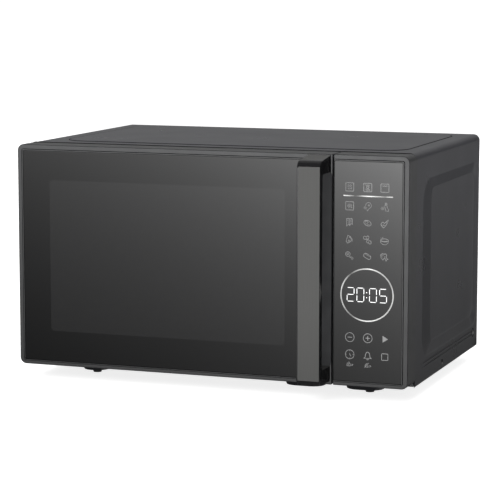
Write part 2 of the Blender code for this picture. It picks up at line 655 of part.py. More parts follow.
def fan():
    """Cooling fan: shroud with a cross bar, shaded-pole motor and five-blade rotor."""
    ring_y = (130.0 * MM, 162.0 * MM)
    motor_y = (108.0 * MM, 122.0 * MM)
    ring = rod_y("fan_shroud", FAN_X, FAN_Z, ring_y, 48.5 * MM, BLACK_PLASTIC, 28)
    flange_y = (ring_y[1] - 2.0 * MM, ring_y[1] + 0.5 * MM)
    unite(ring, box("shroud_flange", around(FAN_X, 49.0 * MM), flange_y, around(FAN_Z, 49.0 * MM)))
    bore_r = FAN_BLADE_R + 4.0 * MM
    subtract(ring, rod_y("shroud_bore", FAN_X, FAN_Z, grown(ring_y, 9.0 * MM), bore_r, None, 28))
    bar_y = (ring_y[0], ring_y[0] + 3.0 * MM)
    unite(ring, box("shroud_bar", around(FAN_X, 47.0 * MM), bar_y, around(FAN_Z, 7.0 * MM)))
    subtract(ring, rod_y("shaft_clearance", FAN_X, FAN_Z, grown(bar_y, 7.0 * MM), 4.0 * MM))
    motor = box("fan_motor", around(FAN_X, 24.0 * MM), motor_y, around(FAN_Z, 22.0 * MM), LAMINATION)
    bearing = rod_y("motor_bearing", FAN_X, FAN_Z, (motor_y[0] - 8.0 * MM, ring_y[0] - GAP), 10.0 * MM)
    coil_z = (FAN_Z - 30.0 * MM, FAN_Z - 12.0 * MM)
    coil = box("motor_coil", around(FAN_X, 16.0 * MM), grown(motor_y, 7.0 * MM), coil_z)
    unite(motor, bearing, coil)
    bore_y = (motor_y[0] + 4.0 * MM, ring_y[0] + 5.0 * MM)
    subtract(motor, rod_y("motor_bore", FAN_X, FAN_Z, bore_y, 3.0 * MM))
    fan_blade(motor_y[0] + 6.0 * MM)


def fan_blade(shaft_end):
    """Five-blade rotor on the motor's shaft."""
    hub_r = 12.0 * MM
    rotor = rod_y("fan_blade", FAN_X, FAN_Z, around(FAN_BLADE_Y, 10.0 * MM), hub_r, WHITE_PLASTIC, 16)
    parts = [rod_y("fan_shaft", FAN_X, FAN_Z, (shaft_end, FAN_BLADE_Y - 3.0 * MM), 2.4 * MM, None, 10)]
    place = Matrix.Translation((FAN_X, FAN_BLADE_Y, FAN_Z))
    blade_z = (hub_r - 3.0 * MM, FAN_BLADE_R - 2.0 * MM)
    out = Matrix.Translation((0, 0, sum(blade_z) / 2))
    twist = Matrix.Rotation(math.radians(32), 4, "Z")
    for number in range(5):
        blade = box(f"blade_{number}", around(0.0, 14.0 * MM), around(0.0, 0.8 * MM), blade_z)
        blade.matrix_world = place @ Matrix.Rotation(math.radians(72 * number), 4, "Y") @ out @ twist
        parts.append(blade)
    unite(rotor, *parts)
    hang(pivot("fan_axis", (FAN_X, FAN_BLADE_Y, FAN_Z)), rotor)


def air_duct():
    """Plastic duct that leads the magnetron's cooling air to the cavity's side slots."""
    x = (OUTSIDE_CAVITY_X, 186.0 * MM)
    y = (-54.0 * MM, -3.0 * MM)
    z = (150.0 * MM, 220.0 * MM)
    wall = 1.5 * MM
    duct = box("air_duct", x, y, z, BLACK_PLASTIC)
    subtract(duct, box("duct_inside", (x[0] - wall, x[1] - wall), grown(y, -wall), grown(z, -wall)))
    mouth_y = (y[1] - 2 * wall, y[1] + wall)
    subtract(duct, box("duct_mouth", (134.0 * MM, x[1] - wall), mouth_y, grown(z, -wall)))


def lamp():
    """Cavity lamp in its holder."""
    holder_x = (122.0 * MM, 131.0 * MM)
    half = 13.0 * MM
    y = around(LAMP_Y, half)
    holder = box("lamp_holder", holder_x, y, around(LAMP_Z, half), WHITE_PLASTIC)
    arm_z = (LAMP_Z - half - 3.0 * MM, LAMP_Z - half + 1.0 * MM)
    unite(holder, box("lamp_arm", (OUTSIDE_CAVITY_X, holder_x[1]), y, arm_z))
    start = (CAVITY_RIGHT + 3.0 * MM, LAMP_Y, LAMP_Z)
    bulb = rod("lamp_bulb", start, (holder_x[0] - GAP, LAMP_Y, LAMP_Z), 8.0 * MM, LAMP_GLASS)
    bevel(bulb, 2.5 * MM)


def grill_heater():
    """Sheathed grill element under the cavity's ceiling, with both ends through the back wall."""
    left, right = HEATER_X
    front = CAVITY_FRONT_Y + 45.0 * MM
    back = CAVITY_BACK_Y + 6.0 * MM
    bend = 22.0 * MM
    path = [(left, back)]
    path += arc((left + bend, front + bend), bend, 180, 270, 6)
    path += arc((right - bend, front + bend), bend, 270, 360, 6)
    path += [(right, back)]
    tube("grill_heater", [(x, y, HEATER_Z) for x, y in path], HEATER_R, HEATER_METAL)


def turntable_motor():
    """Synchronous motor under the cavity floor."""
    top = CAVITY_FLOOR - SHEET - GAP
    centre = (CAVITY_X, CAVITY_Y)
    motor = rod("turntable_motor", (*centre, top - 15.0 * MM), (*centre, top), 24.5 * MM, GALVANISED, 28)
    ear_z = (top - 1.2 * MM, top)
    unite(motor, box("motor_ears", around(CAVITY_X, 32.0 * MM), around(CAVITY_Y, 6.0 * MM), ear_z))
    subtract(motor, rod("motor_socket", (*centre, top - 9.0 * MM), (*centre, top + 3.0 * MM), 4.0 * MM))


def filter_board():
    """Mains filter and fuse board on stand-offs at the back."""
    x = (116.0 * MM, 184.0 * MM)
    z = (44.0 * MM, 112.0 * MM)
    y = (156.0 * MM, 157.6 * MM)
    board = box("filter_board", x, y, z, BOARD)
    inside = y[0] + 1.0 * MM
    unite(board, box("filter_choke", (126.0 * MM, 152.0 * MM), (136.0 * MM, inside), (74.0 * MM, 102.0 * MM)),
          box("filter_capacitor", (158.0 * MM, 176.0 * MM), (144.0 * MM, inside), (64.0 * MM, 96.0 * MM)),
          box("fuse_holder", (130.0 * MM, 166.0 * MM), (146.0 * MM, inside), (50.0 * MM, 58.0 * MM)))
    standoff_y = (y[0] + 0.5 * MM, BACK_PLATE_Y[0] - GAP)
    for side, at_x in zip(("left", "right"), grown(x, -4.0 * MM)):
        for end, at_z in zip(("low", "high"), grown(z, -4.0 * MM)):
            unite(board, rod_y(f"standoff_{side}_{end}", at_x, at_z, standoff_y, 2.5 * MM, None, 12))


# ---------------------------------------------------------------- latch switches

def latch_board():
    """Plastic board behind the latch slots that carries the three interlock switches."""
    x = (132.0 * MM, 135.0 * MM)
    y = (BEHIND_PLATE_Y, -62.0 * MM)
    board = box("latch_board", x, y, (26.0 * MM, 232.0 * MM), WHITE_PLASTIC)
    shelf_x = (LATCH_X - 4.0 * MM, x[0] + 1.0 * MM)
    shelf_y = (BEHIND_PLATE_Y, -66.0 * MM)
    for word, z in (("lower", 24.5 * MM), ("upper", 229.5 * MM)):
        unite(board, box(f"latch_shelf_{word}", shelf_x, shelf_y, (z, z + 2.0 * MM)))


def microswitch(word, level, plunger_level):
    """One interlock switch, and its sprung plunger as a piece of its own."""
    y = (HOOK_TIP_Y + 3.6 * MM, HOOK_TIP_Y + 19.6 * MM)
    body = box(f"microswitch_{word}", (LATCH_X - 4.0 * MM, LATCH_X + 6.4 * MM), y, level, BLACK_PLASTIC)
    well = 5.2 * MM
    x = around(LATCH_X, 1.5 * MM)
    z = around(plunger_level, 1.5 * MM)
    subtract(body, box(f"well_{word}", grown(x, GAP), (y[0] - 1.0 * MM, y[0] + well), grown(z, GAP)))
    plunger_y = (HOOK_TIP_Y + GAP, y[0] + well - 1.8 * MM)
    plunger = box(f"plunger_{word}", x, plunger_y, z, WHITE_PLASTIC)
    hang(pivot(f"plunger_axis_{word}", (LATCH_X, plunger_y[0], plunger_level)), plunger)


def interlock():
    latch_board()
    microswitch("primary", (196.0 * MM, 224.0 * MM), 216.0 * MM)
    microswitch("secondary", (57.6 * MM, 85.6 * MM), 61.0 * MM)
    microswitch("monitor", (28.0 * MM, 56.0 * MM), 53.4 * MM)


# ---------------------------------------------------------------- turntable

def turntable():
    """Glass plate on a coupler, and the roller ring that carries it at half its speed."""
    centre = Vector((CAVITY_X, CAVITY_Y, 0.0))
    axis = pivot("turntable_axis", centre)
    thick = 4.0 * MM
    rim = 11.0 * MM
    profile = [(0.0, thick), (PLATE_R - 14.0 * MM, thick), (PLATE_R - 8.0 * MM, thick + 1.5 * MM),
               (PLATE_R - 2.5 * MM, rim), (PLATE_R, rim), (PLATE_R, rim - 2.0 * MM),
               (PLATE_R - 6.0 * MM, 1.5 * MM), (PLATE_R - 11.0 * MM, 0.0), (0.0, 0.0)]
    plate = turned("turntable_plate", profile, 48, TURNTABLE_GLASS)
    plate.location = centre + Vector((0.0, 0.0, PLATE_Z))
    hang(axis, plate, turntable_coupler(centre))
    roller_ring(centre)


def turntable_coupler(centre):
    """Three-armed driver on the motor's shaft."""
    z = (PLATE_Z - 7.0 * MM, PLATE_Z - GAP)
    shaft_z = (32.0 * MM, z[0] + 1.0 * MM)
    hub = (CAVITY_X, CAVITY_Y)
    coupler = rod("turntable_coupler", (*hub, z[0]), (*hub, z[1]), 9.0 * MM, WHITE_PLASTIC)
    parts = [rod("motor_shaft", (*hub, shaft_z[0]), (*hub, shaft_z[1]), 3.4 * MM, None, 16)]
    for number in range(3):
        turn = Matrix.Rotation(math.radians(120 * number + 30), 4, "Z")
        lobe = box(f"lobe_{number}", (6.0 * MM, 17.0 * MM), around(0.0, 3.0 * MM), z)
        lobe.matrix_world = Matrix.Translation(centre) @ turn @ Matrix.Translation(lobe.location)
        parts.append(lobe)
    unite(coupler, *parts)
    return coupler


def roller_ring(centre):
    """Ring with three axles and the wheels that turn on them."""
    ring_axis = pivot("roller_ring_axis", centre)
    half = 2.0 * MM
    inner = 78.0 * MM
    outer = 87.0 * MM
    profile = [(outer, half), (outer, -half), (inner, -half), (inner, half), (outer, half)]
    ring = turned("roller_ring", profile, 36, WHITE_PLASTIC)
    level = Vector((0.0, 0.0, WHEEL_Z))
    ring.location = centre + level
    hang(ring_axis, ring)
    for number in range(1, 4):
        angle = math.radians(120 * number - 30)
        out = Vector((math.cos(angle), math.sin(angle), 0.0))
        middle = centre + out * WHEEL_TRACK + level
        start = centre + out * (outer - 3.0 * MM) + level
        unite(ring, rod(f"axle_{number}", start, middle + out * 5.0 * MM, 1.5 * MM, None, 12))
        wheel_axis = pivot(f"wheel_axis_{number}", middle)
        hang(ring_axis, wheel_axis)
        hang(wheel_axis, roller_wheel(number, middle, out))


def roller_wheel(number, middle, out):
    """A bored wheel whose axle points outwards."""
    half = out * 3.0 * MM
    wheel = rod(f"roller_wheel_{number}", middle - half, middle + half, WHEEL_R, WHITE_PLASTIC, 32)
    subtract(wheel, rod(f"wheel_bore_{number}", middle - 2 * half, middle + 2 * half, 1.62 * MM, None, 16))
    return wheel


# ---------------------------------------------------------------- control panel

def control_panel():
    """Panel frame, glass, touch sheet, clock display and the control board behind them."""
    glass_x = (PANEL_LEFT + PANEL_EDGE, RIGHT - PANEL_FACE)
    glass_z = (GLASS_BOTTOM, GLASS_TOP)
    seat_y = FACE_Y + 4.0 * MM
    panel_frame(glass_x, glass_z, seat_y)
    glass = box("panel_glass", glass_x, (FACE_Y, FACE_Y + 2.8 * MM), glass_z, BLACK_GLASS)
    bevel(glass, 0.4 * MM)
    sheet_y = (FACE_Y + 3.1 * MM, FACE_Y + 3.7 * MM)
    box("touch_sheet", grown(glass_x, -2.0 * MM), sheet_y, grown(glass_z, -2.0 * MM), CLEAR_FILM)
    module_y = (seat_y + GAP, seat_y + 8.0 * MM)
    box("display_module", (152.0 * MM, 200.0 * MM), module_y, (98.0 * MM, 128.0 * MM), BLACK_PLASTIC)
    control_board()


def panel_frame(glass_x, glass_z, seat_y):
    """Panel bezel with the glass seat and an open back."""
    radii = (SHARP_CORNER, FRONT_CORNER, FRONT_CORNER, SHARP_CORNER)
    outline = rounded((PANEL_LEFT, RIGHT), (FRONT_BOTTOM, FRONT_TOP), radii)
    frame = slab("panel_frame", outline, "Y", FACE_Y, FRONT_BACK_Y, FRAME_PLASTIC)
    seat_x = grown(glass_x, GAP)
    subtract(frame, box("panel_seat", seat_x, (FACE_Y - 1.0 * MM, seat_y), grown(glass_z, GAP)))
    window_z = grown(glass_z, -5.0 * MM)
    subtract(frame, box("panel_window", grown(seat_x, -4.0 * MM), (FACE_Y, FRONT_BACK_Y), window_z))
    inside_x = (PANEL_LEFT + FRAME_WALL, RIGHT - FRAME_WALL)
    inside_z = (FRONT_BOTTOM + FRAME_WALL, FRONT_TOP - FRAME_WALL)
    inner_corner = FRONT_CORNER - FRAME_WALL
    inside = rounded(inside_x, inside_z, (0.0, inner_corner, inner_corner, 0.0), 3)
    subtract(frame, slab("panel_inside", inside, "Y", seat_y + FRAME_WALL, FRONT_BACK_Y + 2.0 * MM))


def control_board():
    """Control board with its transformer, two relays and a buzzer."""
    board_y = (FACE_Y + 13.5 * MM, FACE_Y + 15.1 * MM)
    board = box("control_board", (144.5 * MM, 214.5 * MM), board_y, (28.0 * MM, 247.0 * MM), BOARD)
    deep = (board_y[0] + 0.5 * MM, board_y[1] + 10.0 * MM)
    relay_x = (188.0 * MM, 204.0 * MM)
    unite(board, box("board_transformer", (150.0 * MM, 180.0 * MM), deep, (40.0 * MM, 74.0 * MM)),
          box("board_relay_1", relay_x, deep, (44.0 * MM, 64.0 * MM)),
          box("board_relay_2", relay_x, deep, (72.0 * MM, 92.0 * MM)),
          rod_y("board_buzzer", 160.0 * MM, 150.0 * MM, deep, 6.0 * MM))


# ---------------------------------------------------------------- door

def door_frame():
    """Door bezel with the glass seat, an open back, the hinge sockets and the latch spring's stop."""
    radii = (FRONT_CORNER, SHARP_CORNER, SHARP_CORNER, FRONT_CORNER)
    front = rounded((LEFT, DOOR_RIGHT), (FRONT_BOTTOM, FRONT_TOP), radii)
    frame = slab("door_frame", front, "Y", FACE_Y, FRONT_BACK_Y, FRAME_PLASTIC)
    plan_radii = (SHARP_CORNER, SHARP_CORNER, SHARP_CORNER, HINGE_EDGE_R)
    plan = rounded((LEFT, DOOR_RIGHT), (FACE_Y, FRONT_BACK_Y), plan_radii)
    intersect(frame, slab("door_plan", plan, "Z", 0.0, FRONT_TOP + 40.0 * MM))
    seat_y = FACE_Y + GLASS_THICK + GAP
    ledge_y = seat_y + FRAME_WALL
    seat_x = (LEFT + FRAME_FACE - GAP, DOOR_RIGHT - DOOR_EDGE + GAP)
    seat_z = (GLASS_BOTTOM - GAP, GLASS_TOP + GAP)
    subtract(frame, box("door_seat", seat_x, (FACE_Y - 1.0 * MM, seat_y), seat_z))
    window_x = (LEFT + 14.0 * MM, 119.0 * MM)
    subtract(frame, box("door_window", window_x, (FACE_Y, FRONT_BACK_Y), (30.0 * MM, 243.0 * MM)))
    inside_x = (LEFT + FRAME_WALL, DOOR_RIGHT - FRAME_WALL)
    inside_z = (FRONT_BOTTOM + FRAME_WALL, FRONT_TOP - FRAME_WALL)
    inner_corner = FRONT_CORNER - FRAME_WALL
    inside = rounded(inside_x, inside_z, (inner_corner, 0.0, 0.0, inner_corner), 3)
    subtract(frame, slab("door_inside", inside, "Y", ledge_y, FRONT_BACK_Y + 2.0 * MM))
    inward_y = ledge_y - 1.0 * MM
    socket_x = (LEFT + 1.0 * MM, HINGE_X + 6.5 * MM)
    for word, level in HINGE_SOCKETS:
        unite(frame, box(f"socket_{word}", socket_x, (inward_y, HINGE_Y + 4.6 * MM), level))
    stop_y = (inward_y, LATCH_BAR_Y[1] + 2.0 * MM)
    stop_z = (SPRING_STOP_Z, SPRING_STOP_Z + 3.0 * MM)
    unite(frame, box("spring_stop", around(LATCH_X, 6.0 * MM), stop_y, stop_z))
    for word, lug in HINGE_LUGS:
        swing_y = (HINGE_Y - 7.0 * MM, FRONT_BACK_Y + 1.0 * MM)
        swing_x = (LEFT - 1.0 * MM, HINGE_X + 7.0 * MM)
        subtract(frame, box(f"lug_swing_{word}", swing_x, swing_y, grown(lug, 1.6 * MM)))
        low, high = grown(lug, 11.0 * MM)
        subtract(frame, rod(f"pin_socket_{word}", (HINGE_X, HINGE_Y, low), (HINGE_X, HINGE_Y, high),
                            HINGE_PIN_R + 0.08 * MM, None, 32))
    return frame


def hinges():
    """Steel hinge lugs on the front plate, each with its pin."""
    tip_r = 3.5 * MM
    back = BEHIND_PLATE_Y + 1.5 * MM
    outline = arc((HINGE_X, HINGE_Y), tip_r, 180, 360, 8)
    outline += [(HINGE_X + tip_r, back), (HINGE_X - tip_r, back)]
    flanges = {"lower": (22.6 * MM, 42.0 * MM), "upper": (233.0 * MM, 251.0 * MM)}
    for word, (low, high) in HINGE_LUGS:
        hinge = slab(f"hinge_{word}", outline, "Z", low, high, GALVANISED)
        flange_x = (HINGE_X - tip_r, HINGE_X + 12.0 * MM)
        unite(hinge, box(f"hinge_flange_{word}", flange_x, (BEHIND_PLATE_Y, back), flanges[word]))
        inward = 1 if word == "lower" else -1
        start = (high if word == "lower" else low) - inward * 1.0 * MM
        end = start + inward * 9.0 * MM
        unite(hinge, rod(f"hinge_pin_{word}", (HINGE_X, HINGE_Y, start), (HINGE_X, HINGE_Y, end),
                         HINGE_PIN_R, None, 32))


def door_inner():
    """Pressed steel inner door, its choke cover and the window's clear film."""
    cover_y = (FRONT_BACK_Y - 2.7 * MM, FRONT_BACK_Y - 0.2 * MM)
    film_x = (CAVITY_LEFT + 9.0 * MM, CAVITY_RIGHT - 9.0 * MM)
    film_z = (CAVITY_FLOOR + 6.0 * MM, CAVITY_CEILING - 6.0 * MM)
    film_y = (cover_y[0], cover_y[0] + 0.8 * MM)
    film = box("door_inner_film", grown(film_x, -GAP), film_y, grown(film_z, -GAP), CLEAR_FILM)
    return door_inner_plate(), choke_cover(cover_y, film_x, film_z), film


def door_inner_plate():
    """A flat window panel with a deep choke channel round it."""
    channel = 16.0 * MM
    y = (FACE_Y + 7.6 * MM, FRONT_BACK_Y - 3.0 * MM)
    window_x = (CAVITY_LEFT, CAVITY_RIGHT)
    window_z = (CAVITY_FLOOR, CAVITY_CEILING)
    outer_x = grown(window_x, channel)
    outer_z = grown(window_z, channel - 1.0 * MM)
    plate = box("door_inner_plate", outer_x, y, outer_z, GALVANISED)
    pocket_y = (y[0] - 2.0 * MM, y[1] - SHEET)
    subtract(plate, box("inner_pocket", grown(window_x, -SHEET), pocket_y, grown(window_z, -SHEET)))
    ring_y = (y[0] + SHEET, y[1] + 2.0 * MM)
    ring = box("choke_channel", grown(outer_x, -SHEET), ring_y, grown(outer_z, -SHEET))
    subtract(ring, box("choke_island", window_x, grown(ring_y, 2.0 * MM), window_z))
    subtract(plate, ring)
    notch_x = (outer_x[0] - 3.0 * MM, HINGE_X + 8.0 * MM)
    for word, level in (("lower", (20.0 * MM, 39.2 * MM)), ("upper", (236.0 * MM, 256.0 * MM))):
        subtract(plate, box(f"inner_notch_{word}", notch_x, grown(y, 4.0 * MM), level))
    return plate


def choke_cover(y, window_x, window_z):
    """Plastic frame over the choke, with the window, two latch slots and room for the hinges."""
    wall = FRAME_WALL + GAP
    outline_z = (FRONT_BOTTOM + wall, FRONT_TOP - wall)
    outline = rounded((LEFT + wall, DOOR_RIGHT - wall), outline_z, FRONT_CORNER - wall, 3)
    cover = slab("choke_cover", outline, "Y", *y, BLACK_PLASTIC)
    deep = grown(y, 2.0 * MM)
    subtract(cover, box("cover_window", window_x, deep, window_z))
    for word, level in LATCH_SLOTS:
        subtract(cover, box(f"cover_slot_{word}", SLOT_X, deep, level))
    notch_x = (LEFT - 1.0 * MM, HINGE_X + 7.5 * MM)
    for word, level in (("lower", (15.0 * MM, 39.0 * MM)), ("upper", (236.0 * MM, 260.0 * MM))):
        subtract(cover, box(f"cover_notch_{word}", notch_x, deep, level))
    return cover


def door_handle():
    """C-shaped bar handle: a flat grip plate with bent ends that reach back to the door."""
    face = FACE_Y - HANDLE_REACH
    base = FACE_Y - GAP
    low = FRONT_BOTTOM + 4.0 * MM
    high = FRONT_BOTTOM + 236.0 * MM
    top = FRONT_BOTTOM + 239.5 * MM
    bend = 8.0 * MM
    grip = 7.0 * MM
    gap_low = FRONT_BOTTOM + 19.5 * MM
    gap_high = FRONT_BOTTOM + 222.0 * MM
    small = 4.0 * MM
    outline = [(base, low)] + arc((face + bend, low + bend), bend, 270, 180, 5)
    outline += arc((face + bend, high - bend), bend, 180, 95, 5)
    outline += [(base, top), (base, gap_high)]
    outline += arc((face + grip + small, gap_high - small), small, 90, 180, 3)
    outline += arc((face + grip + small, gap_low + small), small, 180, 270, 3)
    outline += [(base, gap_low)]
    return slab("door_handle", outline, "X", *HANDLE_X, HANDLE_FINISH)


def door_latch():
    """Sliding latch with two hooks, and the coil spring that pushes it down."""
    x = around(LATCH_X, 2.0 * MM)
    latch = box("door_latch", x, LATCH_BAR_Y, LATCH_BAR_Z, WHITE_PLASTIC)
    arm_y = (LATCH_BAR_Y[0] + 1.0 * MM, HOOK_TIP_Y)
    barb_y = (HOOK_TIP_Y - 5.0 * MM, HOOK_TIP_Y)
    for word, level in (("lower", 56.0 * MM), ("upper", 214.0 * MM)):
        unite(latch, box(f"hook_arm_{word}", x, arm_y, (level, level + 8.0 * MM)),
              box(f"hook_barb_{word}", x, barb_y, (level - 5.0 * MM, level + 1.0 * MM)))
    middle = (LATCH_X, sum(LATCH_BAR_Y) / 2)
    low = LATCH_BAR_Z[1] + GAP
    latch_axis = pivot("latch_axis", (*middle, low))
    hang(latch_axis, latch)
    return latch_axis, latch_spring(middle, low, SPRING_STOP_Z - GAP)


def latch_spring(middle, low, high):
    """Coil spring between the latch and its stop in the door."""
    wire = 0.45 * MM
    radius = 2.8 * MM
    around_once = 8
    steps = around_once * 4
    points = []
    for step in range(steps + 1):
        angle = 2 * math.pi * step / around_once
        height = low + wire + (high - low - 2 * wire) * step / steps
        points.append((middle[0] + radius * math.cos(angle), middle[1] + radius * math.sin(angle), height))
    return tube("latch_spring", points, wire, GALVANISED)


def door():
    """The door, with everything that swings with it."""
    axis = pivot("door_axis", (HINGE_X, HINGE_Y, 0.0))
    frame = door_frame()
    glass_x = (LEFT + FRAME_FACE, DOOR_RIGHT - DOOR_EDGE)
    glass_y = (FACE_Y, FACE_Y + GLASS_THICK)
    glass = box("door_glass", glass_x, glass_y, (GLASS_BOTTOM, GLASS_TOP), BLACK_GLASS)
    bevel(glass, 0.4 * MM)
    hang(axis, frame, glass, door_handle(), *door_inner(), *door_latch())


def build():
    clear_scene()
    cabinet_wrap()
    base_plate()
    feet()
    back_plate()
    cord_inlet()
    front_plate()
    oven_cavity()
    waveguide()
    magnetron()
    transformer()
    capacitor()
    fan()
    air_duct()
    lamp()
    grill_heater()
    turntable_motor()
    filter_board()
    interlock()
    turntable()
    control_panel()
    hinges()
    door()


build()
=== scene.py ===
"""Looks for a countertop microwave oven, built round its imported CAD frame. Lengths are in metres."""

import json
import math

import bmesh
import bpy
from mathutils import Matrix, Vector


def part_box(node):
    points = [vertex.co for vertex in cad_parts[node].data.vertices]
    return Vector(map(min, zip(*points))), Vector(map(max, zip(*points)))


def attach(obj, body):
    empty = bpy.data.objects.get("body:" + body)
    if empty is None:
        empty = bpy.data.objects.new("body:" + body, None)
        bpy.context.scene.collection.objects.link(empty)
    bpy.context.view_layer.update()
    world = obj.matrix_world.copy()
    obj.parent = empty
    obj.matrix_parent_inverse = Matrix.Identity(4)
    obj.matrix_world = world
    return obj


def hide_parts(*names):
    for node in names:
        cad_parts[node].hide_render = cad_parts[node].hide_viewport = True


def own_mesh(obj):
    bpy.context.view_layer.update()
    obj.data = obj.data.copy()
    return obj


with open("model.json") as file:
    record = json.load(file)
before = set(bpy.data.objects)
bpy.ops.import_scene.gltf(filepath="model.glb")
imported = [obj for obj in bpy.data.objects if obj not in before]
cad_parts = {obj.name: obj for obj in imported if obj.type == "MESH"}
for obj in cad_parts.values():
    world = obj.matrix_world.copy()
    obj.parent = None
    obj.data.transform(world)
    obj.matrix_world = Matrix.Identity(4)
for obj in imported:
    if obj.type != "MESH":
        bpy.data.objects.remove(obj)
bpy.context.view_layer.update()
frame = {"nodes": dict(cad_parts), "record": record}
MM = 0.001


def mm(*values):
    """Lengths given in millimetres."""
    return tuple(value * MM for value in values)


DOOR_LO, DOOR_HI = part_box("door_frame")
PANEL_LO, PANEL_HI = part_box("panel_frame")
DOOR_GLASS_LO, DOOR_GLASS_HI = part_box("door_glass")
PANEL_GLASS_LO, PANEL_GLASS_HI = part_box("panel_glass")
CABINET_LO, CABINET_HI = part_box("cabinet_wrap")
HANDLE_LO, HANDLE_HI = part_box("door_handle")
FACE_Y = DOOR_LO.y
FRONT_BACK_Y = DOOR_HI.y
FRONT_BOTTOM = DOOR_LO.z
FRONT_TOP = DOOR_HI.z
CABINET_TOP = FRONT_TOP + 0.1 * MM
CORNER = 7.0 * MM
HINGE_X = DOOR_LO.x + 6.25 * MM
HINGE_Y = FACE_Y + 20.1 * MM
HINGE_LUGS = mm(28.0, 247.0)
WINDOW_X = mm(-182.0, 86.0)
WINDOW_Z = mm(55.5, 219.8)
DISPLAY_X = 175.4 * MM
DISPLAY_Z = 113.5 * MM


# ---------------------------------------------------------------- materials

class Field:
    """A value in a shader that is added, multiplied and so on like a number."""

    def __init__(self, tree, socket):
        self.tree, self.socket = tree, socket

    def maths(self, operation, *sources):
        return make(self.tree, "ShaderNodeMath", *sources, operation=operation)

    def __add__(self, other):
        return self.maths("ADD", self, other)

    def __sub__(self, other):
        return self.maths("SUBTRACT", self, other)

    def __rsub__(self, other):
        return self.maths("SUBTRACT", other, self)

    def __mul__(self, other):
        return self.maths("MULTIPLY", self, other)

    def span(self, begin, end, low=0.0, high=1.0, kind="LINEAR"):
        """Runs from low to high as this field goes from begin to end."""
        return make(self.tree, "ShaderNodeMapRange", self, begin, end, low, high, interpolation_type=kind)


def make(tree, kind, *sources, out=0, **named):
    """Adds a node and gives one of its outputs, or a list of them all.

    Sources go to its first inputs. Named values go to its other inputs, or in lower case to its settings."""
    made = tree.nodes.new(kind)
    for key in [key for key in named if key.islower()]:
        setattr(made, key, named.pop(key))
    for key, source in [*enumerate(sources), *named.items()]:
        entry = made.inputs[key if isinstance(key, int) else key.replace("_", " ")]
        if isinstance(source, Field):
            tree.links.new(source.socket, entry)
        elif source is not None:
            entry.default_value = source
    return [Field(tree, socket) for socket in made.outputs] if out is None else Field(tree, made.outputs[out])


class Paint:
    """A Principled material with helpers for the fields that vary over its surface."""

    def __init__(self, name, colour, roughness, metallic=0.0, **sockets):
        self.material = bpy.data.materials.new(name)
        self.material.use_nodes = True
        self.tree = self.material.node_tree
        self.shader = self.tree.nodes["Principled BSDF"]
        self.colour = colour
        self.place = self.make("TexCoord", out="Object")
        sockets.update(Base_Color=(*colour, 1.0), Roughness=roughness, Metallic=metallic)
        for key, value in sockets.items():
            self.shader.inputs[key.replace("_", " ")].default_value = value

    def make(self, kind, *sources, **named):
        return make(self.tree, f"ShaderNode{kind}", *sources, **named)

    def link(self, field, socket):
        self.tree.links.new(field.socket, self.shader.inputs[socket])
        return self

    def sides(self):
        return self.make("SeparateXYZ", self.place, out=None)

    def noise(self, scale, detail=3.0, place=None):
        return self.make("TexNoise", place or self.place, Scale=scale, Detail=detail)

    def cells(self, scale, out="Distance"):
        return self.make("TexVoronoi", self.place, Scale=scale, out=out)

    def ramp(self, source, stops):
        made = self.make("ValToRGB", source)
        bar = made.socket.node.color_ramp.elements
        while len(bar) < len(stops):
            bar.new(0.5)
        for element, (position, colour) in zip(bar, stops):
            element.position = position
            element.color = (*colour, 1.0)
        return made

    def drift(self, source, dark, light, begin=0.3, end=0.7):
        """A colour that runs from dark to light by a field."""
        return self.ramp(source, ((begin, dark), (end, light)))

    def tint(self, source, dark, light, begin=0.3, end=0.7):
        """Colour from dark times the base colour to light times it, by a field."""
        shades = [tuple(part * factor for part in self.colour) for factor in (dark, light)]
        return self.link(self.drift(source, *shades, begin, end), "Base Color")

    def blend(self, mask, first, second):
        """The first colour where the mask is nought, the second where it is one."""
        unused = [None] * 5
        return self.link(self.make("Mix", mask, *unused, first, second, data_type="RGBA", out=2),
                         "Base Color")

    def sheen_by(self, source, low, high, begin=0.25, end=0.75):
        return self.link(source.span(begin, end, low, high), "Roughness")

    def bump(self, source, strength, depth):
        """Relief of a depth in millimetres by a field. Comes last, and gives the finished material."""
        self.link(self.make("Bump", Strength=strength, Distance=depth * MM, Height=source), "Normal")
        return self.material

    def finish(self, sheen, relief):
        """Patchy gloss and fine relief, each from a noise of a scale and detail, then its range or its
        strength and depth."""
        self.sheen_by(self.noise(*sheen[:2]), *sheen[2:])
        return self.bump(self.noise(*relief[:2]), *relief[2:])

    def painted_shade_down(self, lowest, full=0.235, foot=0.02):
        """Painted shade: deepens the base colour towards the foot of the oven, for light that falls off
        towards the worktop.
        """
        colour = Field(self.tree, self.shader.inputs["Base Color"].links[0].from_socket)
        level = self.sides()[2].span(foot, full, lowest, 1.0)
        return self.link(self.make("VectorMath", colour, Scale=level, operation="SCALE"), "Base Color")

    def box_mask(self, x, z, radius, soft):
        """One inside a rounded rectangle in the plane of the front, nought outside it."""
        reach = []
        for side, (low, high) in zip(self.sides()[::2], (x, z)):
            away = side - (low + high) / 2
            away = away.maths("ABSOLUTE", away) - ((high - low) / 2 - radius)
            reach.append(away.maths("MAXIMUM", away, 0.0))
        distance = reach[0] * reach[0] + reach[1] * reach[1]
        return distance.maths("SQRT", distance).span(radius - soft, radius + soft, 1.0, 0.0)


def plain_paint(name, colour, roughness, metallic=0.0, grain=380.0, relief=0.12, vary=0.12, **sockets):
    """Moulded or painted surface: slow shade drift, patchy gloss and a fine grain."""
    paint = Paint(name, colour, roughness, metallic, **sockets)
    paint.tint(paint.noise(14.0, 4.0), 1.0 - vary, 1.0 + vary)
    return paint.finish((60.0, 4.0, roughness * 0.88, roughness * 1.12), (grain, 2.0, relief, 0.06))


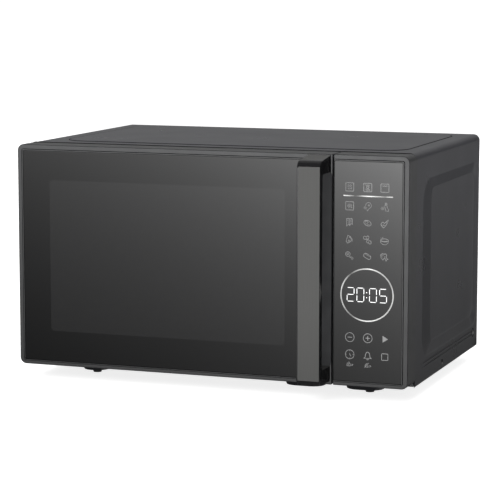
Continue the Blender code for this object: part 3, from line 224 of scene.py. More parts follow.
def cabinet_paint():
    paint = Paint("cabinet_powder_coat", (0.0345, 0.0350, 0.0405), 0.28)
    # Random tone drift, then painted shade: the coat darkens to 0.40 of its colour towards the foot.
    paint.tint(paint.noise(9.0, 2.0), 0.94, 1.06).painted_shade_down(0.40)
    return paint.finish((20.0, 2.0, 0.27, 0.31), (46.0, 1.0, 0.03, 0.08))


def frame_paint():
    paint = Paint("frame_metallic_grey", (0.030, 0.0306, 0.0319), 0.30, Specular_IOR_Level=0.62)
    # Random tone drift, then painted shade: the frame darkens to 0.45 of its colour towards the foot.
    paint.tint(paint.noise(24.0, 2.0), 0.93, 1.07).painted_shade_down(0.45)
    return paint.finish((70.0, 3.0, 0.29, 0.35), (160.0, 1.0, 0.03, 0.04))


def black_glass(name):
    return Paint(name, (0.008, 0.008, 0.0085), 0.045, Specular_IOR_Level=0.5)


def door_glass_paint():
    """Black-backed glass. The printed surround is darker than the window, where holes show faintly."""
    paint = black_glass("door_black_glass")
    mask = paint.box_mask(WINDOW_X, WINDOW_Z, 4.0 * MM, 0.15 * MM)
    screen = paint.drift(paint.cells(420.0), (0.0064, 0.0064, 0.0065), (0.0080, 0.0080, 0.0082), 0.30, 0.45)
    surround = paint.drift(paint.noise(6.0, 2.0), (0.0011, 0.0011, 0.0012), (0.0015, 0.0015, 0.0016))
    paint.blend(mask, surround, screen)
    return paint.finish((12.0, 5.0, 0.035, 0.06), (5.0, 1.0, 0.015, 0.5))


def panel_glass_paint():
    paint = black_glass("panel_black_glass")
    wide, high = mm(23.6, 8.6)
    mask = paint.box_mask((DISPLAY_X - wide, DISPLAY_X + wide), (DISPLAY_Z - high, DISPLAY_Z + high),
                          *mm(1.0, 0.1))
    surround = paint.drift(paint.noise(8.0, 2.0), (0.0018, 0.0018, 0.0019), (0.0024, 0.0024, 0.0025))
    lens = paint.drift(paint.noise(300.0, 1.0), (0.0066, 0.0066, 0.0068), (0.0080, 0.0080, 0.0082))
    paint.blend(mask, surround, lens)
    return paint.finish((14.0, 5.0, 0.035, 0.06), (6.0, 1.0, 0.015, 0.4))


def handle_film():
    """Satin metallised film with a fine vertical brush, and painted shade that darkens it towards the bottom
    of the handle.
    """
    paint = Paint("handle_satin_film", (0.088, 0.088, 0.0855), 0.42, 0.45)
    stretched = paint.make("Mapping", paint.place, Scale=(3200.0, 3200.0, 26.0))
    brush = paint.noise(1.0, 3.0, stretched)
    # Brushed grain, then painted shade: the film darkens to 0.86 of its colour towards the bottom of the
    # handle.
    paint.tint(brush, 0.90, 1.04).painted_shade_down(0.86, 0.10, 0.03)
    paint.sheen_by(brush, 0.39, 0.46)
    return paint.bump(brush, 0.03, 0.02)


# Painted reflections: brightness stops of the base colour round the ring and along the bar, standing in for
# the light and dark reflections on the metal.
RING_PAINTED_SHEEN = ((0.0, 0.66), (0.07, 0.52), (0.15, 0.20), (0.20, 0.60), (0.25, 0.80), (0.40, 0.46), (0.5, 0.58),
              (0.58, 0.40), (0.66, 0.52), (0.73, 0.82), (0.80, 0.44), (0.86, 0.13), (0.93, 0.62), (1.0, 0.66))
BAR_PAINTED_SHEEN = ((0.0, 0.80), (0.10, 0.55), (0.24, 0.10), (0.31, 0.14), (0.52, 0.84), (0.70, 0.42), (0.86, 0.20),
             (0.90, 0.42), (1.0, 0.50))


def chrome_line(name, stops):
    """Bright metallised print with painted reflections: its base colour runs light and dark in bands round
    the ring or along the bar.
    """
    paint = Paint(name, (0.72, 0.72, 0.71), 0.30, 0.35)
    x, _, z = paint.sides()
    across = x - DISPLAY_X
    if stops is RING_PAINTED_SHEEN:
        angle = z - DISPLAY_Z
        angle = angle.maths("ARCTAN2", angle, across)
        field = angle.maths("DIVIDE", angle, 2.0 * math.pi) + 0.5
    else:
        field = across.span(-26.5 * MM, 26.5 * MM)
    paint.link(paint.ramp(field, [(where, (v, v, v * 0.985)) for where, v in stops]), "Base Color")
    paint.sheen_by(paint.noise(300.0, 2.0), 0.26, 0.34)
    return paint.material


def printed_icons():
    paint = Paint("icon_print", (0.24, 0.24, 0.24), 0.5)
    paint.tint(paint.noise(1600.0, 2.0), 0.88, 1.12)
    paint.sheen_by(paint.noise(500.0, 2.0), 0.45, 0.55)
    return paint.material


def lit_digits():
    paint = Paint("display_light", (0.8, 0.8, 0.8), 0.5, Emission_Strength=0.62)
    paint.link(paint.drift(paint.noise(260.0, 2.0), (0.90, 0.91, 0.92), (1.0, 1.0, 1.0)), "Emission Color")
    return paint.material


def flaky(name, colour, roughness, metallic, scale, shades, sheen, relief):
    """Zinc spangle or mica: flakes that differ in shade and gloss."""
    paint = Paint(name, colour, roughness, metallic)
    grey = paint.make("RGBToBW", paint.cells(scale, "Color"))
    paint.tint(grey, *shades, 0.1, 0.9)
    paint.sheen_by(grey, *sheen, 0.1, 0.9)
    return paint.bump(paint.noise(*relief[:2]), *relief[2:])


def enamel():
    """Speckled grey cavity enamel with a light orange-peel surface."""
    paint = Paint("cavity_speckled_enamel", (0.36, 0.36, 0.355), 0.28, Coat_Weight=0.25, Coat_Roughness=0.12)
    base = paint.drift(paint.noise(12.0), (0.33, 0.33, 0.325), (0.37, 0.37, 0.365))
    paint.blend(paint.cells(250.0).span(0.10, 0.22, 1.0, 0.0), base, (0.24, 0.24, 0.24, 1.0))
    return paint.finish((90.0, 3.0, 0.24, 0.33), (160.0, 2.0, 0.06, 0.08))


def banded(name, colour, roughness, metallic, axis, pitch, dark):
    """Stacked sheets or wound wire: fine lines square to one axis."""
    paint = Paint(name, colour, roughness, metallic)
    wave = paint.sides()[axis] * (2.0 * math.pi / pitch)
    wave = wave.maths("SINE", wave)
    mixed = wave + paint.noise(700.0).span(0.0, 1.0, -0.5, 0.5)
    paint.tint(mixed.span(-1.2, 1.2), dark, 1.15, 0.15, 0.7)
    paint.sheen_by(paint.noise(200.0), roughness * 0.85, roughness * 1.2)
    return paint.bump(wave, 0.5, 0.1)


def circuit_board():
    paint = Paint("green_circuit_board", (0.02, 0.13, 0.055), 0.42)
    flat = paint.make("Mapping", paint.place, Rotation=(math.radians(90), 0.0, 0.0))
    tracks, gaps = paint.make("TexBrick", flat, Scale=95.0, Mortar_Size=0.03, Color1=(0.018, 0.12, 0.05, 1.0),
                              Color2=(0.024, 0.16, 0.066, 1.0), Mortar=(0.06, 0.24, 0.10, 1.0), out=None)
    paint.link(tracks, "Base Color")
    paint.sheen_by(paint.noise(150.0), 0.36, 0.5)
    return paint.bump(gaps, 0.2, 0.05)


def clear(name, colour, roughness, ripple, ior=1.5):
    paint = Paint(name, colour, roughness, Transmission_Weight=1.0, IOR=ior)
    paint.tint(paint.noise(25.0), 0.95, 1.04)
    return paint.finish((80.0, 3.0, roughness * 0.7, roughness * 1.5), (70.0, 2.0, ripple, 0.3))


def heater_metal():
    paint = Paint("heater_sheath_metal", (0.17, 0.155, 0.145), 0.38, 0.9)
    paint.link(paint.ramp(paint.noise(28.0, 4.0), ((0.25, (0.10, 0.085, 0.085)), (0.5, (0.19, 0.165, 0.145)),
                                                   (0.75, (0.26, 0.225, 0.19)))), "Base Color")
    return paint.finish((180.0, 3.0, 0.3, 0.48), (1200.0, 2.0, 0.08, 0.05))


LOOKS = {
    "cabinet_paint": cabinet_paint(),
    "frame_silver_grey": frame_paint(),
    "door_glass": door_glass_paint(),
    "panel_glass": panel_glass_paint(),
    "handle_film": handle_film(),
    "handle_back": plain_paint("handle_back_plastic", (0.0215, 0.0222, 0.0245), 0.5, relief=0.1),
    # Painted shadow: a near-black finish for strips, grooves, dishes and slots where only shade falls.
    "painted_shadow_black": plain_paint("painted_seam_shadow", (0.008, 0.008, 0.009), 0.7, relief=0.1,
                              Specular_IOR_Level=0.15),
    "handle_black": plain_paint("handle_gloss_black", (0.010, 0.010, 0.0105), 0.14, relief=0.03),
    "icons": printed_icons(),
    "digits": lit_digits(),
    "ring": chrome_line("display_ring_painted_sheen", RING_PAINTED_SHEEN),
    "bar": chrome_line("mode_line_painted_sheen", BAR_PAINTED_SHEEN),
    "galvanised_steel": flaky("zinc_coated_steel", (0.46, 0.47, 0.48), 0.36, 0.9, 190.0, (0.78, 1.12),
                              (0.27, 0.46), (220.0, 1.0, 0.04, 0.05)),
    "cavity_enamel": enamel(),
    "screen_paint": plain_paint("screen_grey_paint", (0.055, 0.055, 0.057), 0.42, relief=0.1),
    "black_plastic": plain_paint("black_moulded_plastic", (0.020, 0.020, 0.021), 0.44, relief=0.18),
    "choke_plastic": plain_paint("choke_cover_plastic", (0.034, 0.034, 0.036), 0.40, relief=0.2),
    "white_plastic": plain_paint("white_moulded_plastic", (0.66, 0.655, 0.62), 0.42, relief=0.1, vary=0.05),
    "black_rubber": plain_paint("black_foot_rubber", (0.014, 0.014, 0.014), 0.78, relief=0.4, grain=1400.0),
    "turntable_glass": clear("turntable_pressed_glass", (0.86, 0.94, 0.92), 0.035, 0.10),
    "clear_film": clear("clear_polyester_film", (0.80, 0.82, 0.84), 0.10, 0.04, 1.35),
    "lamp_glass": clear("lamp_bulb_glass", (0.92, 0.92, 0.88), 0.05, 0.05),
    "mica_board": flaky("mica_sheet", (0.50, 0.43, 0.32), 0.55, 0.0, 160.0, (0.82, 1.12), (0.38, 0.62),
                        (260.0, 4.0, 0.12, 0.08)),
    "magnetron_core": plain_paint("magnetron_fin_metal", (0.50, 0.51, 0.52), 0.36, 0.85, vary=0.08),
    "core_laminations": banded("laminated_core_steel", (0.15, 0.15, 0.16), 0.5, 0.6, 1, 1.2 * MM, 0.55),
    "varnished_copper": banded("varnished_copper_wire", (0.42, 0.17, 0.07), 0.34, 0.75, 2, 1.0 * MM, 0.45),
    "aluminium_can": plain_paint("drawn_aluminium_can", (0.62, 0.63, 0.64), 0.32, 0.95, vary=0.05),
    "circuit_board": circuit_board(),
    "heater_sheath": heater_metal(),
    "ceramic_dome": plain_paint("pink_ceramic_dome", (0.66, 0.42, 0.38), 0.36, relief=0.1, vary=0.06),
    "steel_screw": plain_paint("black_zinc_screw", (0.085, 0.085, 0.09), 0.34, 0.8, relief=0.2),
    "bright_screw": plain_paint("bright_zinc_screw", (0.50, 0.50, 0.49), 0.28, 0.9, relief=0.1),
}

SPECIAL = {"door_glass": "door_glass", "panel_glass": "panel_glass", "door_handle": "handle_black",
           "choke_cover": "choke_plastic", "base_plate": "cabinet_paint", "front_plate": "cavity_enamel",
           "door_inner_plate": "screen_paint"}


# ---------------------------------------------------------------- mesh helpers

def arc(cu, cv, ru, rv=None, begin=0.0, end=360.0, steps=20, turn=0.0):
    """Points on a circle or an ellipse, in degrees, the ellipse turned about its middle."""
    rv = ru if rv is None else rv
    turn = math.radians(turn)
    points = []
    for i in range(steps + 1):
        angle = math.radians(begin + (end - begin) * i / steps)
        u, v = ru * math.cos(angle), rv * math.sin(angle)
        points.append((cu + u * math.cos(turn) - v * math.sin(turn),
                       cv + u * math.sin(turn) + v * math.cos(turn)))
    return points


def rounded(u, v, radii, steps=6):
    """Outline of a rectangle with rounded corners; radii run low-low, high-low, high-high, low-high."""
    if isinstance(radii, float):
        radii = (radii,) * 4
    corners = ((u[0], v[0], 1, 1, 180), (u[1], v[0], -1, 1, 270), (u[1], v[1], -1, -1, 0),
               (u[0], v[1], 1, -1, 90))
    points = []
    for (cu, cv, du, dv, begin), radius in zip(corners, radii):
        points += arc(cu + du * radius, cv + dv * radius, radius, None, begin, begin + 90, steps)
    return points


def placed(outline, axis, level):
    """Points (u, v) of an outline as points in space at a level along an axis."""
    along = "XYZ".index(axis)
    return [Vector((*point[:along], level, *point[along:])) for point in outline]


def weigh_normals(thing):
    """Lets the larger faces set the shading, so flat faces stay flat beside small rounds."""
    smooth = thing.modifiers.new("face_weighted", "WEIGHTED_NORMAL")
    smooth.keep_sharp = True
    smooth.weight = 90


def add_thing(name, data):
    """A new object in the scene."""
    thing = bpy.data.objects.new(name, data)
    bpy.context.scene.collection.objects.link(thing)
    return thing


def mesh_of(name, work):
    mesh = bpy.data.meshes.new(name)
    work.to_mesh(mesh)
    work.free()
    return mesh


def finish_piece(name, work, look, body, slot=None, replaces=(), sharp=35.0, weld=True):
    """Turns a bmesh into a piece that rides on a body."""
    if weld:
        bmesh.ops.remove_doubles(work, verts=work.verts, dist=0.002 * MM)
    loose = [face for face in work.faces if face.calc_area() < 1e-14]
    bmesh.ops.delete(work, geom=loose, context="FACES")
    bmesh.ops.recalc_face_normals(work, faces=work.faces)
    mesh = mesh_of(name, work)
    mesh.shade_smooth()
    mesh.set_sharp_from_angle(angle=math.radians(sharp))
    mesh.materials.append(LOOKS[look])
    thing = add_thing(name, mesh)
    weigh_normals(thing)
    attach(thing, body)
    if replaces:
        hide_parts(*replaces)
    return thing


def skin(work, rings, closed=True, caps=False, loop=False):
    """Quads between rings with the same number of points."""
    made = [[work.verts.new(point) for point in ring] for ring in rings]
    pairs = list(zip(made, made[1:])) + ([(made[-1], made[0])] if loop else [])
    for low, high in pairs:
        count = len(low)
        for i in range(count if closed else count - 1):
            j = (i + 1) % count
            work.faces.new((low[i], low[j], high[j], high[i]))
    if caps:
        work.faces.new(made[0])
        work.faces.new(made[-1])
    return made


def inset_rings(u, v, radii, axis, steps, sections, least=0.02 * MM):
    """Rings of a rounded rectangle for (inset, level) sections."""
    rings = []
    for inset, level in sections:
        tight = tuple(max(radius - inset, least) for radius in radii)
        outline = rounded((u[0] + inset, u[1] - inset), (v[0] + inset, v[1] - inset), tight, steps)
        rings.append(placed(outline, axis, level))
    return rings


def edge_sections(low, high, edge, both):
    """Sections of a slab from low to high whose rims are rounded."""
    turn = [math.radians(30 * step) for step in range(4)]
    sign = 1.0 if high > low else -1.0
    flat = edge + min(edge, 0.2 * MM)
    start = [(0.0, low)]
    if both:
        start = [(flat, low)]
        start += [(edge * (1 - math.sin(a)), low + sign * edge * (1 - math.cos(a))) for a in turn]
    finish = [(edge * (1 - math.cos(a)), high - sign * edge * (1 - math.sin(a))) for a in turn]
    return start + finish + [(flat, high)]


def slab(name, u, v, radius, axis, low, high, edge, look, body, steps=6, both=True, **options):
    """A rounded rectangle between two levels along an axis."""
    work = bmesh.new()
    skin(work, inset_rings(u, v, (radius,) * 4, axis, steps, edge_sections(low, high, edge, both)), caps=True)
    return finish_piece(name, work, look, body, **options)


def lathe(work, profile, centre, axis, steps=32):
    """Adds a shape turned about an axis; profile points are (radius, distance along the axis)."""
    across, up, along = {"X": ((0, 1, 0), (0, 0, 1), (1, 0, 0)), "Y": ((1, 0, 0), (0, 0, 1), (0, 1, 0)),
                         "Z": ((1, 0, 0), (0, 1, 0), (0, 0, 1))}[axis]
    across, up, along = Vector(across), Vector(up), Vector(along)
    turn = [2 * math.pi * i / steps for i in range(steps)]
    rings = []
    for radius, distance in profile:
        spot = Vector(centre) + along * distance
        rings.append([spot + across * (radius * math.cos(a)) + up * (radius * math.sin(a)) for a in turn])
    skin(work, rings)


def add_box(work, x, y, z):
    """Adds a closed box between pairs of bounds."""
    low, high = Vector((x[0], y[0], z[0])), Vector((x[1], y[1], z[1]))
    place = Matrix.Translation((low + high) / 2) @ Matrix.Diagonal((*(high - low), 1.0))
    bmesh.ops.create_cube(work, size=1.0, matrix=place)


def carve(piece, cutter, sharp=35.0):
    """Cuts the closed shapes of a bmesh out of a piece."""
    tool = add_thing("cutter", mesh_of("cutter", cutter))
    piece.modifiers.clear()
    change = piece.modifiers.new("cut", "BOOLEAN")
    change.operation = "DIFFERENCE"
    change.solver = "EXACT"
    change.object = tool
    change.use_self = True
    bpy.context.view_layer.update()
    seen = piece.evaluated_get(bpy.context.evaluated_depsgraph_get())
    piece.data = bpy.data.meshes.new_from_object(seen)
    piece.data.set_sharp_from_angle(angle=math.radians(sharp))
    piece.modifiers.clear()
    bpy.data.objects.remove(tool)
    weigh_normals(piece)
    return piece


def screw(name, centre, axis, outward, radius, look, body="oven_body"):
    """Pan-head screw with a cross recess, its head standing out along an axis."""
    work = bmesh.new()
    rise = radius * 0.42
    profile = [(radius, -1.0 * MM), (radius, rise * 0.25), (radius * 0.93, rise * 0.55),
               (radius * 0.75, rise * 0.85), (radius * 0.45, rise), (0.01 * MM, rise)]
    lathe(work, [(r, outward * d) for r, d in profile], centre, axis, 24)
    head = finish_piece(name, work, look, body)
    cutter = bmesh.new()
    along = "XYZ".index(axis)
    spot = list(centre)
    spot[along] += outward * rise
    for arm in ((0.6, 0.16), (0.16, 0.6)):
        halves = [part * radius for part in arm]
        halves.insert(along, rise * 0.6)
        add_box(cutter, *[(middle - half, middle + half) for middle, half in zip(spot, halves)])
    return carve(head, cutter)


# ---------------------------------------------------------------- cabinet

CABINET_X = 218.4 * MM
SIDE_DEPTH = 3.0 * MM
BACK_ROUND = 1.8 * MM
CREASE_TOP = 36.5 * MM
CREASES = mm(33.8, 29.8)
CREASE_Y = mm(-75.0, 143.0)
CREASE_LEVELS = mm(35.2, 34.8, 34.4, 34.1, 33.8, 33.5, 33.2, 32.8, 31.8, 30.8, 30.4, 30.1, 29.8, 29.5, 29.2,
                   28.8, 26.0)
CREASE_DEPTH = 0.7 * MM
RAISED_X, RAISED_Y, RAISED_CORNER = mm(-193.0, 196.0), mm(-77.0, 148.0), 26.0 * MM
SCREW_Y, SCREW_Z = mm(146.6, 31.7)
SLOT_Y, SLOT_Z = mm(8.6, 20.6)


def ease(t, soft=0.09):
    """A ramp from 0 to 1 with rounded ends."""
    t = min(max(t, 0.0), 1.0)
    if t < soft:
        raw = t * t / (2 * soft)
    elif t > 1 - soft:
        raw = 1 - soft - (1 - t) ** 2 / (2 * soft)
    else:
        raw = t - soft / 2
    return raw / (1 - soft)


def side_wall(work, side):
    """One side: flat border, recess with a long front slope, and a strip below with two pressed lines."""
    y0 = CABINET_LO.y
    y1 = CABINET_HI.y - BACK_ROUND
    outer = rounded((FACE_Y + 56.0 * MM, FACE_Y + 295.0 * MM),
                    (FRONT_BOTTOM + 22.0 * MM, FRONT_BOTTOM + 211.5 * MM), mm(24.0, 22.0, 22.0, 28.0), 12)
    inner = rounded((FACE_Y + 103.5 * MM, FACE_Y + 287.0 * MM),
                    (FRONT_BOTTOM + 34.5 * MM, FRONT_BOTTOM + 198.5 * MM), mm(11.0, 14.0, 14.0, 11.0), 12)
    border = rounded((y0, y1), (CREASE_TOP, CABINET_TOP - CORNER), 0.03 * MM, 12)
    rings = [placed(border, "X", side * CABINET_X)]
    for step in range(19):
        t = step / 18
        ring = [(a[0] + (b[0] - a[0]) * t, a[1] + (b[1] - a[1]) * t) for a, b in zip(outer, inner)]
        rings.append(placed(ring, "X", side * (CABINET_X - SIDE_DEPTH * ease(t))))
    work.faces.new(skin(work, rings)[-1])
    front, rear = CREASE_Y
    columns = [y0] + [front + (rear - front) * i / 40 for i in range(41)] + [y1]
    strips = []
    for level in (CREASE_TOP, *CREASE_LEVELS, CABINET_LO.z):
        dip = sum(CREASE_DEPTH * math.exp(-((level - line) / (0.48 * MM)) ** 2) for line in CREASES)
        row = []
        for y in columns:
            fade = min(1.0, max(0.0, (y - front) / (14.0 * MM))) * min(1.0, max(0.0, (rear - y) / (3.0 * MM)))
            row.append(Vector((side * (CABINET_X - dip * fade), y, level)))
        strips.append(row)
    skin(work, strips, closed=False)


def cover_path():
    """The cover's section over its two rounded long edges."""
    high = CABINET_TOP - CORNER
    return (arc(-CABINET_X + CORNER, high, CORNER, None, 180, 90, 10)
            + arc(CABINET_X - CORNER, high, CORNER, None, 90, 0, 10))


def inset_path(inset, y):
    """The whole section of the cover, down to its lower edges, moved inwards at one depth."""
    points = []
    for x, z in [(-CABINET_X, CABINET_LO.z)] + cover_path() + [(CABINET_X, CABINET_LO.z)]:
        if z <= CABINET_TOP - CORNER:
            points.append(Vector((math.copysign(abs(x) - inset, x), y, z)))
        else:
            centre = (math.copysign(CABINET_X - CORNER, x), CABINET_TOP - CORNER)
            reach = Vector((x - centre[0], z - centre[1])).normalized() * (CORNER - inset)
            points.append(Vector((centre[0] + reach.x, y, centre[1] + reach.y)))
    return points


def cabinet():
    """Folded cover with rounded long edges, pressed sides and a rolled back rim."""
    work = bmesh.new()
    back = CABINET_HI.y - BACK_ROUND
    for side in (1, -1):
        side_wall(work, side)
    skin(work, [placed(cover_path(), "Y", y) for y in (CABINET_LO.y, back)], closed=False)
    rims = [(BACK_ROUND - u, back + v) for u, v in arc(0.0, 0.0, BACK_ROUND, None, 0, 90, 6)]
    rims += [(BACK_ROUND + 0.6 * MM, CABINET_HI.y - depth) for depth in mm(0.2, 3.0)]
    skin(work, [inset_path(inset, y) for inset, y in rims], closed=False)
    finish_piece("cabinet_shell", work, "cabinet_paint", "oven_body", "cabinet_paint", ("cabinet_wrap",),
                 40.0)


def raised_rings(sections):
    """Rings round the raised field of the top, from insets and rises in millimetres."""
    return inset_rings(RAISED_X, RAISED_Y, (RAISED_CORNER,) * 4, "Z", 16,
                       [(inset * MM, CABINET_TOP + rise * MM) for inset, rise in sections])


def top_panel():
    """The raised field of the top, with a rounded step, and a dark strip round it as painted shadow at the
    foot of the step.
    """
    work = bmesh.new()
    rings = raised_rings([(-1.2, -0.02), (-0.2, 0.04), (0.3, 0.16), (0.8, 0.38), (1.3, 0.58), (1.9, 0.68),
                          (2.8, 0.70)])
    work.faces.new(skin(work, rings)[-1])
    finish_piece("cabinet_raised_top", work, "cabinet_paint", "oven_body", "cabinet_paint", sharp=60.0)
    work = bmesh.new()
    # Painted shadow: a dark strip round the foot of the step.
    skin(work, raised_rings([(-0.9, 0.0), (-0.75, 0.30), (-0.45, 0.42), (-0.1, 0.36), (0.3, 0.10)]))
    finish_piece("raised_top_painted_shadow", work, "painted_shadow_black", "oven_body", "cabinet_paint", sharp=80.0)


def front_seam_painted_shadow():
    """Painted shadow: a dark strip at the joint between the cover and the front unit, where the cover's front
    edge is in shade.
    """
    work = bmesh.new()
    rows = ((0.0, 0.9), (0.45, 0.75), (0.55, 0.3), (0.45, -0.15), (0.0, -0.3))
    skin(work, [inset_path(-grow * MM, CABINET_LO.y + y * MM) for grow, y in rows], closed=False)
    finish_piece("front_seam_painted_shadow", work, "painted_shadow_black", "oven_body", "cabinet_paint", sharp=80.0)


def side_fixings():
    """Screw in its dish at the back of each side, and a small one in a slot lower down; the dish and the slot
    are coloured near-black as painted shade.
    """
    dish = [(5.2, 0.02), (4.9, 0.12), (4.4, 0.16), (3.9, 0.10), (3.6, -0.2)]
    for side, word in ((1, "right"), (-1, "left")):
        x = side * CABINET_X
        work = bmesh.new()
        # Painted shade: the pressed dish round the screw is coloured near-black for the shade in it.
        lathe(work, [(r * MM, side * d * MM) for r, d in dish], (x, SCREW_Y, SCREW_Z), "X")
        finish_piece(f"screw_dish_{word}", work, "painted_shadow_black", "oven_body", slot="cabinet_paint")
        screw(f"side_screw_{word}", (x, SCREW_Y + 0.2 * MM, SCREW_Z), "X", side, 1.9 * MM, "bright_screw")
        # Painted shade: a dark sheet in the slot stands for the shade inside it.
        slab(f"side_slot_{word}", (SLOT_Y - 3.0 * MM, SLOT_Y + 4.4 * MM),
             (SLOT_Z - 2.8 * MM, SLOT_Z + 4.2 * MM), 3.2 * MM, "X", x - side * 0.5 * MM, x + side * 0.06 * MM,
             0.05 * MM, "painted_shadow_black", "oven_body", slot="black_plastic")
        screw(f"side_stud_{word}", (x, SLOT_Y, SLOT_Z - 0.4 * MM), "X", side, 1.4 * MM, "bright_screw")


# ---------------------------------------------------------------- front unit

PANEL_GLASS_X = PANEL_LO.x + 0.3 * MM
GLASS_SEAT = 6.2 * MM
FRONT_EDGE = 0.9 * MM
DOOR_BACK_ROUND = 4.5 * MM
FRONT_SECTION = ((4.46, 0.0), (4.54, 0.08), (4.56, 3.0), (5.10, 3.0), (5.12, 0.06), (5.18, 0.0), (6.08, 0.0),
                 (6.14, 0.08), (6.2, 3.4))


def bezel(name, low, high, radii, borders, back, body, replaced):
    """A front frame: outer wall, rounded front edge, face, groove, lip, glass seat, ledge and inner wall.

    borders give how wide the face is at the left, right, bottom and top; back gives the section of the left
    wall."""
    rings = []

    def ring(left, right, bottom, top, y, corner_inset):
        least = 0.5 * MM if corner_inset > 5.2 * MM else 0.15 * MM
        tight = tuple(max(radius - corner_inset, least) for radius in radii)
        outline = rounded((low.x + left, high.x - right), (low.z + bottom, high.z - top), tight, 8)
        rings.append(placed(outline, "Y", y))

    for left, y in back:
        rest = 0.3 * MM if y >= FRONT_BACK_Y else 0.0
        ring(left, rest, rest, rest, y, 0.0)
    sections = [(FRONT_EDGE - u, FRONT_EDGE - v) for u, v in arc(0.0, 0.0, FRONT_EDGE, None, 0, 90, 5)]
    for inset, depth in sections + [mm(*pair) for pair in FRONT_SECTION]:
        ring(*[border * min(1.0, inset / GLASS_SEAT) for border in borders], FACE_Y + depth, inset)
    for inset, y in ((11.0, FACE_Y + 3.4 * MM), (11.0, FACE_Y + 6.0 * MM), (2.6, FACE_Y + 6.0 * MM),
                     (2.6, FRONT_BACK_Y)):
        inset *= MM
        ring(*[inset if inset < GLASS_SEAT else border + 4.5 * MM for border in borders], y, inset)
    work = bmesh.new()
    skin(work, rings, loop=True)
    return finish_piece(name, work, "frame_silver_grey", body, "frame_silver_grey", (replaced,), 28.0)


def paint_shade_in_grooves(piece):
    """Painted shade: the slots beside the lip are coloured black inside, for the shade deep in them."""
    piece.data.materials.append(LOOKS["painted_shadow_black"])
    for face in piece.data.polygons:
        if 1.0 * MM < face.center.y - FACE_Y < 3.5 * MM:
            face.material_index = 1


def glass_borders(lo, hi, glass_lo, glass_hi):
    """How far a frame reaches in to its glass at the left, right, bottom and top."""
    near = 0.05 * MM
    return (glass_lo.x - lo.x - near, hi.x - glass_hi.x - near, glass_lo.z - lo.z - near,
            hi.z - glass_hi.z - near)


def door_bezel():
    borders = glass_borders(DOOR_LO, DOOR_HI, DOOR_GLASS_LO, DOOR_GLASS_HI)
    back = [(DOOR_BACK_ROUND - u, FRONT_BACK_Y - (DOOR_BACK_ROUND - v))
            for u, v in arc(0.0, 0.0, DOOR_BACK_ROUND, None, 90, 0, 5)]
    made = bezel("door_bezel", DOOR_LO, DOOR_HI, (CORNER, 0.8 * MM, 0.8 * MM, CORNER), borders, back, "door",
                 "door_frame")
    swing = bmesh.new()
    for level in HINGE_LUGS:
        add_box(swing, (DOOR_LO.x - 1.0 * MM, HINGE_X + 7.0 * MM),
                (HINGE_Y - 7.0 * MM, FRONT_BACK_Y + 1.0 * MM), (level - 2.6 * MM, level + 2.6 * MM))
    paint_shade_in_grooves(carve(made, swing, 28.0))


def panel_bezel():
    borders = [*glass_borders(PANEL_LO, PANEL_HI, PANEL_GLASS_LO, PANEL_GLASS_HI)]
    borders[0] = PANEL_GLASS_X - PANEL_LO.x
    back = [(0.3 * MM, FRONT_BACK_Y), (0.0, FRONT_BACK_Y - 0.3 * MM)]
    paint_shade_in_grooves(bezel("panel_bezel", PANEL_LO, PANEL_HI, (0.8 * MM, CORNER, CORNER, 0.8 * MM), borders,
                         back, "oven_body", "panel_frame"))


def hinge_sockets():
    """Bored blocks in the door that turn on the hinge pins."""
    for word, low, high in (("lower", 31.0 * MM, 38.0 * MM), ("upper", 237.0 * MM, 244.0 * MM)):
        block = slab(f"hinge_socket_{word}", (DOOR_LO.x + 2.4 * MM, HINGE_X + 6.5 * MM),
                     (FACE_Y + 6.5 * MM, HINGE_Y + 4.6 * MM), 0.8 * MM, "Z", low, high, 0.3 * MM,
                     "black_plastic", "door", slot="black_plastic", steps=3)
        bore = bmesh.new()
        bmesh.ops.create_cone(bore, cap_ends=True, segments=32, radius1=2.15 * MM, radius2=2.15 * MM,
                              depth=20.0 * MM, matrix=Matrix.Translation((HINGE_X, HINGE_Y,
                                                                          (low + high) / 2)))
        carve(block, bore)


def gap_painted_shadow():
    """Painted shadow: a dark strip on the panel's side that fills the gap beside the door, where only shade
    falls.
    """
    slab("door_gap_seal", (DOOR_HI.x + 0.35 * MM, PANEL_LO.x + 0.05 * MM),
         (FACE_Y + 2.0 * MM, FRONT_BACK_Y - 0.5 * MM), 0.3 * MM, "Z", FRONT_BOTTOM + 1.0 * MM,
         FRONT_TOP - 2.2 * MM, 0.15 * MM, "painted_shadow_black", "oven_body", slot="black_plastic", steps=2)


def glasses():
    for node, body, left, low, high in (
            ("door_glass", "door", DOOR_GLASS_LO.x, DOOR_GLASS_LO, DOOR_GLASS_HI),
            ("panel_glass", "oven_body", PANEL_GLASS_X, PANEL_GLASS_LO, PANEL_GLASS_HI)):
        slab(f"{node}_pane", (left, high.x), (low.z, high.z), 1.0 * MM, "Y", high.y, low.y, 0.35 * MM, node,
             body, slot="black_glass", replaces=(node,), sharp=50.0)


# ---------------------------------------------------------------- handle

HANDLE_BEND = 8.0 * MM
HANDLE_INNER_BEND = 4.0 * MM
HANDLE_GRIP = 8.6 * MM
HANDLE_TOP = HANDLE_HI.z - 3.5 * MM
HANDLE_GAP = (FRONT_BOTTOM + 19.5 * MM, FRONT_BOTTOM + 222.0 * MM)


